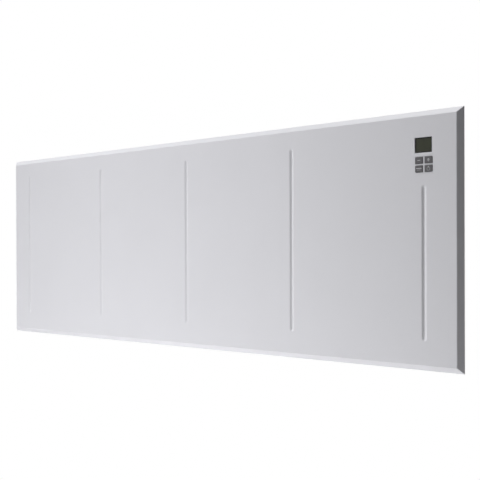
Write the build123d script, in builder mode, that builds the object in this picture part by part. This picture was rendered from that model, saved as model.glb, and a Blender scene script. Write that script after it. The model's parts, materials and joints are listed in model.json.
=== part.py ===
from build123d import *
import os
from math import asin, atan2, cos, degrees, radians, sin, tan

# Wall panel convector heater, in millimetres.
# +X runs right along the wall, +Y into the wall, +Z up. The origin lies on the wall, in the middle of
# the bracket's four fixing holes. A "depth" is a distance in front of the wall, so y = -depth.

os.makedirs("parts", exist_ok=True)

# ---- driving dimensions ------------------------------------------------------------------------

# front panel: a pressed steel tray with bevelled, mitred edges and a return lip behind
panel_length = 1200.0
panel_height = 400.0
panel_sheet = 1.2
bevel_width = 8.6
bevel_depth = 5.2
bend_depth = 0.2

# vertical grooves pressed into the face, running out to points
groove_count = 5
groove_width = 8.0
groove_depth = 2.0
groove_runout = 9.0
groove_bottom_margin = 46.0
groove_top_margin = 37.5
groove_to_keys = 19.0

# keypad and display at the right end
key_width = 13.7
key_height = 10.1
key_gap = 3.25
key_corner = 2.0
key_proud = 0.6
key_travel = 0.5
key_flange = 0.9
key_flange_thickness = 1.0
key_stem_radius = 2.0
keypad_drop = 83.1
display_width = 30.5
display_height = 23.7
display_drop = 53.15
display_shift = 1.0
window_recess = 1.0
window_flange = 1.6
window_thickness = 2.0

# rear casing: a folded tray behind the panel, held off the wall
standoff = 20.0
casing_depth = 48.0
casing_sheet = 1.0
casing_side_inset = 34.0
casing_edge_inset = 24.0
casing_flange = 14.0
casing_corner = 6.0
back_rib_height = 60.0
back_rib_margin = 60.0

# air inlet in the floor and louvred outlet in the roof
inlet_columns = 18
inlet_slot_length = 42.0
inlet_slot_width = 6.0
inlet_row_pitch = 14.0
outlet_margin = 12.0
outlet_depth = 31.0
grille_rim = 3.0
grille_rim_thickness = 1.2
grille_wall = 1.5
grille_drop = 8.0
louvre_count = 4
louvre_thickness = 1.0
louvre_chord = 8.0
louvre_tilt = 30.0
grille_bars = 9

# heating element: finned aluminium extrusion on a hairpin heater rod
element_rise = 66.0
rod_radius = 4.0
rod_pitch = 24.0
hub_radius = 6.5
fin_length = 24.0
fin_thickness = 1.6
fin_spread = 35.0
finlet_length = 8.0
finlet_thickness = 1.2
finlets_per_fin = 3
element_end_gap = 8.0
support_margin = 65.0
support_height = 70.0
support_sheet = 1.0
support_foot = 12.0
bush_flange_radius = 8.5
bush_neck_radius = 6.0
bush_flange_thickness = 2.5
bush_neck_length = 5.0
rod_overhang = 13.0
pin_radius = 1.5
pin_length = 12.0

# heat shield and the wall between the hot side and the controls
shield_sheet = 0.8
shield_air_gap = 13.2
partition_sheet = 1.0
partition_foot = 11.0
partition_gap = 8.4
hot_end_to_partition = 38.0

# overheat cut-out on the partition
cutout_height = 50.0
cutout_body_radius = 12.0
cutout_body_length = 8.0
cutout_neck_radius = 9.0
cutout_neck_length = 4.0
tab_length = 6.0
tab_width = 6.3
tab_thickness = 0.8
tab_offset = 6.0

# control housing behind the keypad
housing_width = 56.0
housing_height = 76.0
housing_wall = 1.6
housing_end_gap = 2.6
housing_length = 16.0
housing_ledge = 3.0
housing_ledge_thickness = 2.0
ear_length = 10.0
ear_width = 10.0
ear_thickness = 2.0
ear_pitch = 44.0
stud_radius = 1.5
stud_length = 7.0
board_thickness = 1.6
display_board_setback = 9.2
module_margin = 2.6
switch_size = 6.0
switch_height = 1.6
plunger_radius = 1.6
press_gap = 0.1

# power board and what stands on it
power_board_width = 66.0
power_board_height = 170.0
pillar_radius = 3.0
pillar_height = 8.0
pillar_inset = 4.0
pole_count = 6
pole_pitch = 8.0
block_height = 18.0
block_thickness = 14.0
block_rise = 6.0
wire_hole_radius = 2.0
block_screw_radius = 1.9
block_screw_length = 2.8
relay_size = (29.0, 13.0, 16.0)
relay_rise = 43.5
core_size = (32.0, 28.0, 16.0)
core_leg = 6.0
coil_growth = 3.0
transformer_rise = 88.0
capacitor_radius = 5.0
capacitor_height = 16.0
capacitor_pitch = 16.0
capacitor_rise = 128.0
ribbon_width = 12.0
ribbon_thickness = 1.0
ribbon_bend = 6.0
ribbon_drop = 20.0
ribbon_top_margin = 17.0

# wiring, sensor and cable inlet
lead_radius = 1.6
lead_bend = 4.0
lead_entry = 6.0
lead_riser = 15.0
sensor_radius = 2.5
sensor_length = 18.0
sensor_from_partition = 12.5
sensor_depth = 33.0
sensor_rise = 7.0
clip_wall = 1.6
clip_height = 8.0
sensor_plug_size = (6.0, 8.0)
cable_radius = 3.75
gland_radius = 8.0
gland_hex_radius = 11.0
gland_hex_height = 5.0
gland_cap_radius = 9.5
gland_cap_height = 10.0
gland_nut_height = 4.0
earth_stud_radius = 2.0
earth_stud_length = 15.0
earth_nut_radius = 4.0
earth_nut_height = 3.2
earth_rise = 34.0
earth_lug_thickness = 0.8
earth_lug_radius = 4.0
earth_from_partition = 20.0

# screws that join the casing to the panel
screw_radius = 1.9
screw_length = 6.0
screw_head_radius = 3.6
screw_head_height = 2.2
screws_per_edge = 5
screw_edge_margin = 40.0
side_screw_pitch = 200.0

# wall bracket: two hooked uprights joined by two rails
bracket_spacing = 560.0
upright_width = 40.0
upright_height = 320.0
bracket_sheet = 1.5
bracket_gap = 1.5
hook_pitch = 200.0
hook_neck = 8.0
hook_rise = 8.0
hook_tongue = 4.0
tongue_gap = 1.0
hook_slot_width = 5.0
lift_travel = 10.0
fixing_pitch = 260.0
fixing_radius = 3.0
rail_height = 25.0
rail_pitch = 140.0
rivet_radius = 2.0
rivet_head_radius = 4.0
rivet_head_height = 1.2
rivet_pitch = 20.0

# rubber buffers that keep the casing parallel to the wall
buffer_radius = 8.0
buffer_stem_radius = 3.0
buffer_stem_length = 4.0
buffer_side_margin = 46.0
buffer_bottom_margin = 22.0

# running and fitting clearances
key_clearance = 0.25
sliding_clearance = 0.3
hole_clearance = 0.15
slot_clearance = 2.0

# ---- places worked out from them ----------------------------------------------------------------

lip_back = standoff + casing_depth
bevel_edge = lip_back + panel_sheet
face = bevel_edge + bevel_depth
panel_inside = face - panel_sheet
casing_floor = standoff + casing_sheet

casing_length = panel_length - 2 * casing_side_inset
casing_height = panel_height - 2 * casing_edge_inset
inner_length = casing_length - 2 * casing_sheet
inner_height = casing_height - 2 * casing_sheet
inner_end = inner_length / 2
inner_top = inner_height / 2
casing_top = casing_height / 2
edge_screw_pitch = (casing_length - 2 * screw_edge_margin) / (screws_per_edge - 1)

keypad_x = inner_end - housing_end_gap - housing_width / 2
keypad_z = panel_height / 2 - keypad_drop
display_z = panel_height / 2 - display_drop
display_x = keypad_x - display_shift
key_pitch_x = key_width + key_gap
key_pitch_z = key_height + key_gap
housing_left = keypad_x - housing_width / 2
partition_x = housing_left - ear_length - partition_gap
housing_z = (display_z + display_height / 2 + keypad_z - key_pitch_z / 2 - key_height / 2) / 2
housing_back = panel_inside - housing_length

shield_back = panel_inside - groove_depth - shield_air_gap - shield_sheet
element_depth = (casing_floor + shield_back) / 2
element_z = -casing_top + element_rise
rod_heights = (element_z + rod_pitch / 2, element_z - rod_pitch / 2)
left_support = -inner_end + support_margin
right_support = partition_x - hot_end_to_partition
pin_end = right_support + rod_overhang + pin_length

hot_length = partition_x + inner_end
hot_middle = (partition_x - inner_end) / 2
outlet_length = hot_length - 2 * outlet_margin

hook_x = bracket_spacing / 2 + upright_width / 2 - bracket_sheet / 2
hook_slot_height = hook_neck + lift_travel + slot_clearance
upright_reach = standoff - bracket_gap
hook_reach = bracket_gap + casing_sheet + tongue_gap + hook_tongue

board_x = (partition_x + inner_end) / 2
board_back = casing_floor + pillar_height
board_front = board_back + board_thickness
board_bottom = element_z
power_board_middle = board_bottom + power_board_height / 2
riser_x = partition_x + lead_riser
block_left = riser_x + pole_pitch - wire_hole_radius
block_x = block_left + pole_count * pole_pitch / 2
first_pole_x = block_left + pole_pitch / 2
last_pole_x = block_left + (pole_count - 0.5) * pole_pitch
block_bottom = board_bottom + block_rise
block_top = block_bottom + block_height
wire_depth = element_depth
cutout_z = element_z + cutout_height
tab_end = partition_x + cutout_neck_length - partition_sheet + tab_length

display_board_front = panel_inside - display_board_setback + board_thickness
display_board_back = display_board_front - board_thickness


def at_depth(depth):
    """A plane parallel to the wall, this far in front of it and facing the room."""
    return Plane.XZ.offset(depth)


def across(x):
    """A plane square to the length of the heater; its first axis runs into the wall."""
    return Plane.YZ.offset(x)


def level(z):
    """A horizontal plane at this height."""
    return Plane.XY.offset(z)


def end_plane(wire):
    """The plane square to a wire at its start."""
    return Plane(origin=wire @ 0, z_dir=wire % 0)


# ---- front panel --------------------------------------------------------------------------------

bevel_angle = atan2(bevel_depth, bevel_width)
bevel_taper = 90 - degrees(bevel_angle)
bend_taper = 90 - degrees(bevel_angle) / 2
bend_inset = bevel_width * (1 - bend_depth / bevel_depth)
hollow_inset = panel_sheet / sin(bevel_angle)

# a groove is a round trough whose axis bends away from the sheet at each end
groove_radius = (groove_width**2 / 4 + groove_depth**2) / (2 * groove_depth)
groove_axis_depth = face + groove_radius - groove_depth
runout_radius = (groove_runout**2 + groove_depth**2) / (2 * groove_depth) - groove_radius
runout_angle = 1.5 * degrees(asin(groove_runout / (runout_radius + groove_radius)))

groove_pitch = 2 * keypad_x / (groove_count - 1)
groove_bottom = -panel_height / 2 + groove_bottom_margin
groove_top = panel_height / 2 - groove_top_margin
short_groove_top = keypad_z - key_pitch_z / 2 - key_height / 2 - groove_to_keys
groove_spots = [(-keypad_x + index * groove_pitch, groove_top) for index in range(groove_count - 1)]
groove_spots.append((keypad_x, short_groove_top))


def groove_route(x, top):
    """The axis of one groove, from its lower to its upper point."""
    with BuildLine(across(x)) as route:
        run = Line((-groove_axis_depth, groove_bottom + groove_runout), (-groove_axis_depth, top - groove_runout))
        JernArc(run @ 1, run % 1, runout_radius, runout_angle)
        JernArc(run @ 0, (run % 0) * -1, runout_radius, -runout_angle)
    return route.wires()[0]


with BuildPart() as front_panel:
    with BuildSketch(at_depth(lip_back)):
        Rectangle(panel_length, panel_height)
    extrude(amount=panel_sheet)
    with BuildSketch(at_depth(bevel_edge)):
        Rectangle(panel_length, panel_height)
    extrude(amount=bevel_depth - bend_depth, taper=bevel_taper)
    # the bend between bevel and face, a narrow flat half as steep as the bevel
    with BuildSketch(at_depth(face - bend_depth)):
        Rectangle(panel_length - 2 * bend_inset, panel_height - 2 * bend_inset)
    extrude(amount=bend_depth, taper=bend_taper)
    # hollow behind the sheet, then the opening inside the return lip
    with BuildSketch(at_depth(bevel_edge)):
        Rectangle(panel_length - 2 * hollow_inset, panel_height - 2 * hollow_inset)
    extrude(amount=bevel_depth - panel_sheet, taper=bevel_taper, mode=Mode.SUBTRACT)
    with BuildSketch(at_depth(lip_back)):
        Rectangle(inner_length, inner_height)
    extrude(amount=panel_sheet, mode=Mode.SUBTRACT)
    # the back of each groove stands proud inside, one sheet thicker all round
    for groove_x, groove_end in groove_spots:
        axis = groove_route(groove_x, groove_end)
        with BuildSketch(end_plane(axis)):
            Circle(groove_radius + panel_sheet)
        sweep(path=axis)
    split(bisect_by=at_depth(face), keep=Keep.BOTTOM)
    for groove_x, groove_end in groove_spots:
        axis = groove_route(groove_x, groove_end)
        with BuildSketch(end_plane(axis)):
            Circle(groove_radius)
        sweep(path=axis, mode=Mode.SUBTRACT)
    # window and key openings
    with BuildSketch(at_depth(face)):
        with Locations((display_x, display_z)):
            Rectangle(display_width, display_height)
    extrude(amount=-panel_sheet, mode=Mode.SUBTRACT)
    with BuildSketch(at_depth(face)) as key_openings:
        with Locations((keypad_x, keypad_z)):
            with GridLocations(key_pitch_x, key_pitch_z, 2, 2):
                Rectangle(key_width + 2 * key_clearance, key_height + 2 * key_clearance)
        keypad_middle = Vector(keypad_x, keypad_z)
        fillet(key_openings.vertices().sort_by_distance(keypad_middle)[-4:], radius=key_corner)
    extrude(amount=-panel_sheet, mode=Mode.SUBTRACT)
    # pilot holes in the lip, and weld studs for the control housing
    with BuildSketch(at_depth(lip_back)):
        with GridLocations(edge_screw_pitch, casing_height + casing_flange, screws_per_edge, 2):
            Circle(screw_radius + hole_clearance)
        with GridLocations(casing_length + casing_flange, side_screw_pitch, 2, 2):
            Circle(screw_radius + hole_clearance)
    extrude(amount=panel_sheet, mode=Mode.SUBTRACT)
    with BuildSketch(at_depth(panel_inside)):
        with Locations((housing_left - ear_length / 2, housing_z)):
            with GridLocations(0, ear_pitch, 1, 2):
                Circle(stud_radius)
    extrude(amount=-stud_length)
front_panel.part.label = "front_panel"
export_step(front_panel.part, "parts/front_panel.step")

# ---- rear casing --------------------------------------------------------------------------------

rib_left = -inner_end + back_rib_margin
rib_right = partition_x - partition_foot - back_rib_margin / 2


def rib_route(z):
    """The axis of one stiffening rib pressed into the back, from left to right."""
    rib_axis_depth = standoff + groove_depth - groove_radius
    with BuildLine(level(z)) as route:
        run = Line((rib_left + groove_runout, -rib_axis_depth), (rib_right - groove_runout, -rib_axis_depth))
        JernArc(run @ 1, run % 1, runout_radius, runout_angle)
        JernArc(run @ 0, (run % 0) * -1, runout_radius, -runout_angle)
    return route.wires()[0]


with BuildPart() as rear_casing:
    with BuildSketch(at_depth(standoff)):
        RectangleRounded(casing_length, casing_height, casing_corner)
    extrude(amount=casing_depth)
    with BuildSketch(at_depth(casing_floor)):
        RectangleRounded(inner_length, inner_height, casing_corner - casing_sheet)
    extrude(amount=casing_depth - casing_sheet, mode=Mode.SUBTRACT)
    with BuildSketch(at_depth(lip_back)):
        Rectangle(casing_length + 2 * casing_flange, casing_height + 2 * casing_flange)
        RectangleRounded(inner_length, inner_height, casing_corner - casing_sheet, mode=Mode.SUBTRACT)
        with GridLocations(edge_screw_pitch, casing_height + casing_flange, screws_per_edge, 2):
            Circle(screw_radius + hole_clearance, mode=Mode.SUBTRACT)
        with GridLocations(casing_length + casing_flange, side_screw_pitch, 2, 2):
            Circle(screw_radius + hole_clearance, mode=Mode.SUBTRACT)
    extrude(amount=-casing_sheet)
    for rib_z in (back_rib_height, -back_rib_height):
        axis = rib_route(rib_z)
        with BuildSketch(end_plane(axis)):
            Circle(groove_radius + casing_sheet)
        sweep(path=axis)
    split(bisect_by=at_depth(standoff), keep=Keep.TOP)
    for rib_z in (back_rib_height, -back_rib_height):
        axis = rib_route(rib_z)
        with BuildSketch(end_plane(axis)):
            Circle(groove_radius)
        sweep(path=axis, mode=Mode.SUBTRACT)
    # roof opening for the outlet grille
    with BuildSketch(level(casing_top)):
        with Locations((hot_middle, -element_depth)):
            Rectangle(outlet_length, outlet_depth)
    extrude(amount=-casing_sheet, mode=Mode.SUBTRACT)
    # two rows of inlet slots in the floor, and the cable gland's hole
    with BuildSketch(level(-casing_top)):
        with Locations((hot_middle, -element_depth)):
            with GridLocations(outlet_length / inlet_columns, inlet_row_pitch, inlet_columns, 2):
                Rectangle(inlet_slot_length, inlet_slot_width)
        with Locations((block_x, -wire_depth)):
            Circle(gland_radius + hole_clearance)
    extrude(amount=casing_sheet, mode=Mode.SUBTRACT)
    # hook slots: the hook's neck carries the upper edge of each slot
    with BuildSketch(at_depth(standoff)):
        for side in (-1, 1):
            for level_z in (-hook_pitch / 2, hook_pitch / 2):
                with Locations((side * hook_x, level_z - hook_slot_height / 2)):
                    Rectangle(hook_slot_width, hook_slot_height)
            with Locations((side * (inner_end - buffer_side_margin), -inner_top + buffer_bottom_margin)):
                Circle(buffer_stem_radius + hole_clearance)
    extrude(amount=casing_sheet, mode=Mode.SUBTRACT)
rear_casing.part.label = "rear_casing"
export_step(rear_casing.part, "parts/rear_casing.step")

# ---- outlet grille ------------------------------------------------------------------------------

neck_length = outlet_length - 2 * sliding_clearance
neck_depth = outlet_depth - 2 * sliding_clearance
throat_length = neck_length - 2 * grille_wall
throat_depth = neck_depth - 2 * grille_wall

with BuildPart() as outlet_grille:
    with BuildSketch(level(casing_top)):
        with Locations((hot_middle, -element_depth)):
            RectangleRounded(outlet_length + 2 * grille_rim, outlet_depth + 2 * grille_rim, grille_rim)
            Rectangle(throat_length, throat_depth, mode=Mode.SUBTRACT)
    extrude(amount=grille_rim_thickness)
    with BuildSketch(level(casing_top)):
        with Locations((hot_middle, -element_depth)):
            Rectangle(neck_length, neck_depth)
            Rectangle(throat_length, throat_depth, mode=Mode.SUBTRACT)
    extrude(amount=-grille_drop)
    louvre_pitch = throat_depth / louvre_count
    with BuildSketch(across(hot_middle - throat_length / 2)):
        with Locations((-element_depth, casing_top - grille_drop / 2)):
            with GridLocations(louvre_pitch, 0, louvre_count, 1):
                Rectangle(louvre_thickness, louvre_chord, rotation=louvre_tilt)
    extrude(amount=throat_length)
    with BuildSketch(level(casing_top - grille_drop)):
        with Locations((hot_middle, -element_depth)):
            with GridLocations(throat_length / (grille_bars + 1), 0, grille_bars, 1):
                Rectangle(grille_wall, throat_depth)
    extrude(amount=grille_drop)
outlet_grille.part.label = "outlet_grille"
export_step(outlet_grille.part, "parts/outlet_grille.step")

# ---- heat shield and partition ------------------------------------------------------------------

shield_top = inner_top - sliding_clearance - shield_sheet / 2
shield_middle = shield_back + shield_sheet / 2
shield_left = -inner_end + casing_corner
shield_front = lip_back - sliding_clearance
shield_length = partition_x - partition_sheet - sliding_clearance - shield_left

with BuildPart() as heat_shield:
    with BuildSketch(across(shield_left)):
        with BuildLine() as channel:
            FilletPolyline(
                (-shield_front, shield_top),
                (-shield_middle, shield_top),
                (-shield_middle, -shield_top),
                (-shield_front, -shield_top),
                radius=2 * shield_sheet,
            )
        trace(line_width=shield_sheet)
    extrude(amount=shield_length)
heat_shield.part.label = "heat_shield"
export_step(heat_shield.part, "parts/heat_shield.step")

with BuildPart() as control_partition:
    with BuildSketch(level(-inner_top + sliding_clearance)):
        with BuildLine():
            FilletPolyline(
                (partition_x - partition_foot, -casing_floor - partition_sheet / 2),
                (partition_x - partition_sheet / 2, -casing_floor - partition_sheet / 2),
                (partition_x - partition_sheet / 2, -shield_back),
                radius=2 * partition_sheet,
            )
        trace(line_width=partition_sheet)
    extrude(amount=inner_height - 2 * sliding_clearance)
    with BuildSketch(across(partition_x)):
        with Locations((-element_depth, cutout_z)):
            Circle(cutout_neck_radius + hole_clearance)
        for rod_z in rod_heights:
            with Locations((-element_depth, rod_z)):
                Circle(bush_neck_radius + hole_clearance)
    extrude(amount=-partition_sheet, mode=Mode.SUBTRACT)
control_partition.part.label = "control_partition"
export_step(control_partition.part, "parts/control_partition.step")

# ---- heating element ----------------------------------------------------------------------------

with BuildPart() as heating_element:
    with BuildSketch(across(left_support + element_end_gap)):
        with Locations((-element_depth, element_z)):
            Rectangle(2 * fin_thickness, rod_pitch)
        for rod_z, upward in zip(rod_heights, (1, -1)):
            with Locations((-element_depth, rod_z)):
                Circle(hub_radius)
            for side in (-1, 1):
                lean = radians(fin_spread) * side
                fin_middle = (
                    -element_depth + fin_length / 2 * sin(lean),
                    rod_z + upward * fin_length / 2 * cos(lean),
                )
                with Locations(Location(fin_middle, -fin_spread * side * upward)):
                    Rectangle(fin_thickness, fin_length)
                    with Locations((0, upward * (hub_radius / 2 + finlet_thickness))):
                        finlet_pitch = (fin_length - hub_radius) / finlets_per_fin
                        with GridLocations(0, finlet_pitch, 1, finlets_per_fin):
                            Rectangle(finlet_length, finlet_thickness)
        for rod_z in rod_heights:
            with Locations((-element_depth, rod_z)):
                Circle(rod_radius + hole_clearance, mode=Mode.SUBTRACT)
    extrude(amount=right_support - left_support - 2 * element_end_gap)
heating_element.part.label = "heating_element"
export_step(heating_element.part, "parts/heating_element.step")

hairpin_turn = left_support - rod_overhang

with BuildPart() as heater_rod:
    with BuildLine(at_depth(element_depth)) as hairpin:
        upper_run = Line((right_support + rod_overhang, rod_heights[0]), (hairpin_turn, rod_heights[0]))
        JernArc(upper_run @ 1, upper_run % 1, rod_pitch / 2, 180)
        Line((hairpin_turn, rod_heights[1]), (right_support + rod_overhang, rod_heights[1]))
    with BuildSketch(across(right_support + rod_overhang)):
        with Locations((-element_depth, rod_heights[0])):
            Circle(rod_radius)
    sweep(path=hairpin.wires()[0])
heater_rod.part.label = "heater_rod"
export_step(heater_rod.part, "parts/heater_rod.step")

with BuildPart() as terminal_pins:
    with BuildSketch(across(right_support + rod_overhang)):
        for rod_z in rod_heights:
            with Locations((-element_depth, rod_z)):
                Circle(pin_radius)
    extrude(amount=pin_length)
terminal_pins.part.label = "terminal_pins"
export_step(terminal_pins.part, "parts/terminal_pins.step")

for support_name, support_x, outward in (
    ("element_support_left", left_support, -1),
    ("element_support_right", right_support, 1),
):
    with BuildPart() as element_support:
        with BuildSketch(level(element_z - support_height / 2)):
            with BuildLine():
                FilletPolyline(
                    (support_x + outward * support_foot, -casing_floor - support_sheet / 2),
                    (support_x, -casing_floor - support_sheet / 2),
                    (support_x, -shield_back + sliding_clearance),
                    radius=2 * support_sheet,
                )
            trace(line_width=support_sheet)
        extrude(amount=support_height)
        with BuildSketch(across(support_x)):
            for rod_z in rod_heights:
                with Locations((-element_depth, rod_z)):
                    Circle(bush_neck_radius + hole_clearance)
        extrude(amount=support_sheet, both=True, mode=Mode.SUBTRACT)
    element_support.part.label = support_name
    export_step(element_support.part, f"parts/{support_name}.step")

# ceramic bushes: the flange bears on the element side of each support, the neck passes through it
with BuildPart() as element_bushes:
    for support_x, outward in ((left_support, -1), (right_support, 1)):
        flange_face = support_x - outward * support_sheet / 2
        with BuildSketch(across(flange_face)):
            for rod_z in rod_heights:
                with Locations((-element_depth, rod_z)):
                    Circle(bush_flange_radius)
                    Circle(rod_radius + hole_clearance, mode=Mode.SUBTRACT)
        extrude(amount=-outward * bush_flange_thickness)
        with BuildSketch(across(flange_face)):
            for rod_z in rod_heights:
                with Locations((-element_depth, rod_z)):
                    Circle(bush_neck_radius)
                    Circle(rod_radius + hole_clearance, mode=Mode.SUBTRACT)
        extrude(amount=outward * bush_neck_length)
element_bushes.part.label = "element_bushes"
export_step(element_bushes.part, "parts/element_bushes.step")

# bushes that line the two lead holes in the partition
with BuildPart() as lead_bushes:
    for rod_z in rod_heights:
        with BuildSketch(across(partition_x)):
            with Locations((-element_depth, rod_z)):
                Circle(bush_flange_radius)
                Circle(lead_radius + sliding_clearance, mode=Mode.SUBTRACT)
        extrude(amount=bush_flange_thickness / 2)
        with BuildSketch(across(partition_x)):
            with Locations((-element_depth, rod_z)):
                Circle(bush_neck_radius)
                Circle(lead_radius + sliding_clearance, mode=Mode.SUBTRACT)
        extrude(amount=-bush_flange_thickness)
lead_bushes.part.label = "lead_bushes"
export_step(lead_bushes.part, "parts/lead_bushes.step")

# ---- overheat cut-out ---------------------------------------------------------------------------

with BuildPart() as overheat_cutout:
    with BuildSketch(across(partition_x - partition_sheet)):
        with Locations((-element_depth, cutout_z)):
            Circle(cutout_body_radius)
    extrude(amount=-cutout_body_length)
    chamfer(overheat_cutout.edges().group_by(Axis.X)[0], length=1.5)
    with BuildSketch(across(partition_x - partition_sheet)):
        with Locations((-element_depth, cutout_z)):
            Circle(cutout_neck_radius)
    extrude(amount=cutout_neck_length)
    with BuildSketch(across(partition_x - partition_sheet + cutout_neck_length)):
        with Locations((-element_depth, cutout_z)):
            with GridLocations(0, 2 * tab_offset, 1, 2):
                Rectangle(tab_width, tab_thickness)
    extrude(amount=tab_length)
overheat_cutout.part.label = "overheat_cutout"
export_step(overheat_cutout.part, "parts/overheat_cutout.step")

# ---- control housing, display and keys ----------------------------------------------------------

ledge_top = display_board_back
board_width = housing_width - 2 * housing_wall - 2 * sliding_clearance
board_height = housing_height - 2 * housing_wall - 2 * sliding_clearance

with BuildPart() as control_housing:
    with BuildSketch(at_depth(housing_back)):
        with Locations((keypad_x, housing_z)):
            RectangleRounded(housing_width, housing_height, 2 * housing_wall)
            Rectangle(housing_width - 2 * housing_wall, housing_height - 2 * housing_wall, mode=Mode.SUBTRACT)
    extrude(amount=housing_length)
    # the ledge inside carries the display board
    with BuildSketch(at_depth(ledge_top)):
        with Locations((keypad_x, housing_z)):
            Rectangle(housing_width - housing_wall, housing_height - housing_wall)
            Rectangle(
                housing_width - 2 * (housing_wall + housing_ledge),
                housing_height - 2 * (housing_wall + housing_ledge),
                mode=Mode.SUBTRACT,
            )
    extrude(amount=-housing_ledge_thickness)
    # ears that sit on the panel's weld studs
    with BuildSketch(at_depth(panel_inside - stud_length / 2)):
        with Locations((housing_left - ear_length / 2 + housing_wall / 4, housing_z)):
            with GridLocations(0, ear_pitch, 1, 2):
                Rectangle(ear_length + housing_wall / 2, ear_width)
        with Locations((housing_left - ear_length / 2, housing_z)):
            with GridLocations(0, ear_pitch, 1, 2):
                Circle(stud_radius + hole_clearance, mode=Mode.SUBTRACT)
    extrude(amount=ear_thickness)
control_housing.part.label = "control_housing"
export_step(control_housing.part, "parts/control_housing.step")

with BuildPart() as housing_clips:
    with BuildSketch(at_depth(panel_inside - stud_length / 2)):
        with Locations((housing_left - ear_length / 2, housing_z)):
            with GridLocations(0, ear_pitch, 1, 2):
                Circle(3 * stud_radius)
                Circle(stud_radius + hole_clearance / 3, mode=Mode.SUBTRACT)
    extrude(amount=-stud_length / 4)
housing_clips.part.label = "housing_clips"
export_step(housing_clips.part, "parts/housing_clips.step")

with BuildPart() as display_board:
    with BuildSketch(at_depth(display_board_back)):
        with Locations((keypad_x, housing_z)):
            Rectangle(board_width, board_height)
    extrude(amount=board_thickness)
display_board.part.label = "display_board"
export_step(display_board.part, "parts/display_board.step")

window_front = face - window_recess
window_seat = panel_inside - hole_clearance
module_front = window_seat - window_thickness - sliding_clearance

with BuildPart() as display_window:
    with BuildSketch(at_depth(window_seat)):
        with Locations((display_x, display_z)):
            Rectangle(display_width + 2 * window_flange, display_height + 2 * window_flange)
    extrude(amount=-window_thickness)
    with BuildSketch(at_depth(window_seat)):
        with Locations((display_x, display_z)):
            Rectangle(display_width - 2 * hole_clearance, display_height - 2 * hole_clearance)
    extrude(amount=window_front - window_seat)
display_window.part.label = "display_window"
export_step(display_window.part, "parts/display_window.step")

with BuildPart() as display_module:
    with BuildSketch(at_depth(display_board_front)):
        with Locations((display_x, display_z)):
            Rectangle(display_width + 2 * module_margin, display_height + 2 * module_margin)
    extrude(amount=(module_front - display_board_front) / 2)
    with BuildSketch(at_depth(display_board_front)):
        with Locations((display_x, display_z)):
            Rectangle(display_width + module_margin, display_height + module_margin)
    extrude(amount=module_front - display_board_front)
display_module.part.label = "display_module"
export_step(display_module.part, "parts/display_module.step")

plunger_top = display_board_front + 2 * switch_height

with BuildPart() as key_switches:
    with BuildSketch(at_depth(display_board_front)):
        with Locations((keypad_x, keypad_z)):
            with GridLocations(key_pitch_x, key_pitch_z, 2, 2):
                Rectangle(switch_size, switch_size)
    extrude(amount=switch_height)
    with BuildSketch(at_depth(display_board_front + switch_height)):
        with Locations((keypad_x, keypad_z)):
            with GridLocations(key_pitch_x, key_pitch_z, 2, 2):
                Circle(plunger_radius)
    extrude(amount=switch_height)
key_switches.part.label = "key_switches"
export_step(key_switches.part, "parts/key_switches.step")

key_front = face + key_proud
flange_front = panel_inside - sliding_clearance
stem_end = plunger_top + key_travel + press_gap

for key_name, column, row in (
    ("key_minus", -1, 1),
    ("key_plus", 1, 1),
    ("key_mode", -1, -1),
    ("key_power", 1, -1),
):
    key_x = keypad_x + column * key_pitch_x / 2
    key_z = keypad_z + row * key_pitch_z / 2
    with BuildPart() as key:
        with BuildSketch(at_depth(flange_front)) as key_outline:
            with Locations((key_x, key_z)):
                Rectangle(key_width, key_height)
            fillet(key_outline.vertices().sort_by_distance(keypad_middle)[-1], radius=key_corner - key_clearance)
        extrude(amount=key_front - flange_front)
        fillet(key.edges().group_by(Axis.Y)[0], radius=key_proud / 2)
        with BuildSketch(at_depth(flange_front)):
            with Locations((key_x, key_z)):
                Rectangle(key_width + 2 * key_flange, key_height + 2 * key_flange)
        extrude(amount=-key_flange_thickness)
        with BuildSketch(at_depth(flange_front - key_flange_thickness)):
            with Locations((key_x, key_z)):
                Circle(key_stem_radius)
        extrude(amount=stem_end - flange_front + key_flange_thickness)
    key.part.label = key_name
    export_step(key.part, f"parts/{key_name}.step")

# ---- power board --------------------------------------------------------------------------------

with BuildPart() as power_board:
    with BuildSketch(at_depth(board_back)):
        with Locations((board_x, power_board_middle)):
            Rectangle(power_board_width, power_board_height)
    extrude(amount=board_thickness)
power_board.part.label = "power_board"
export_step(power_board.part, "parts/power_board.step")

with BuildPart() as board_pillars:
    with BuildSketch(at_depth(casing_floor)):
        with Locations((board_x, power_board_middle)):
            with GridLocations(
                power_board_width - 2 * pillar_inset, power_board_height - 2 * pillar_inset, 2, 2
            ):
                RegularPolygon(pillar_radius, 6)
    extrude(amount=pillar_height)
board_pillars.part.label = "board_pillars"
export_step(board_pillars.part, "parts/board_pillars.step")

block_front = board_front + block_thickness

with BuildPart() as terminal_block:
    with BuildSketch(at_depth(board_front)):
        with Locations((block_x, block_bottom + block_height / 2)):
            Rectangle(pole_count * pole_pitch, block_height)
    extrude(amount=block_thickness)
    chamfer(terminal_block.edges().filter_by(Axis.X).group_by(Axis.Y)[0], length=block_thickness / 5)
    # a wire way runs up through each pole, with a screw well in front of it
    with BuildSketch(level(block_bottom)):
        with Locations((block_x, -wire_depth)):
            with GridLocations(pole_pitch, 0, pole_count, 1):
                Circle(wire_hole_radius)
    extrude(amount=block_height, mode=Mode.SUBTRACT)
    with BuildSketch(at_depth(block_front)):
        with Locations((block_x, block_bottom + block_height / 2)):
            with GridLocations(pole_pitch, 0, pole_count, 1):
                Circle(block_screw_radius + hole_clearance)
    extrude(amount=-(block_front - wire_depth), mode=Mode.SUBTRACT)
terminal_block.part.label = "terminal_block"
export_step(terminal_block.part, "parts/terminal_block.step")

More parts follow.
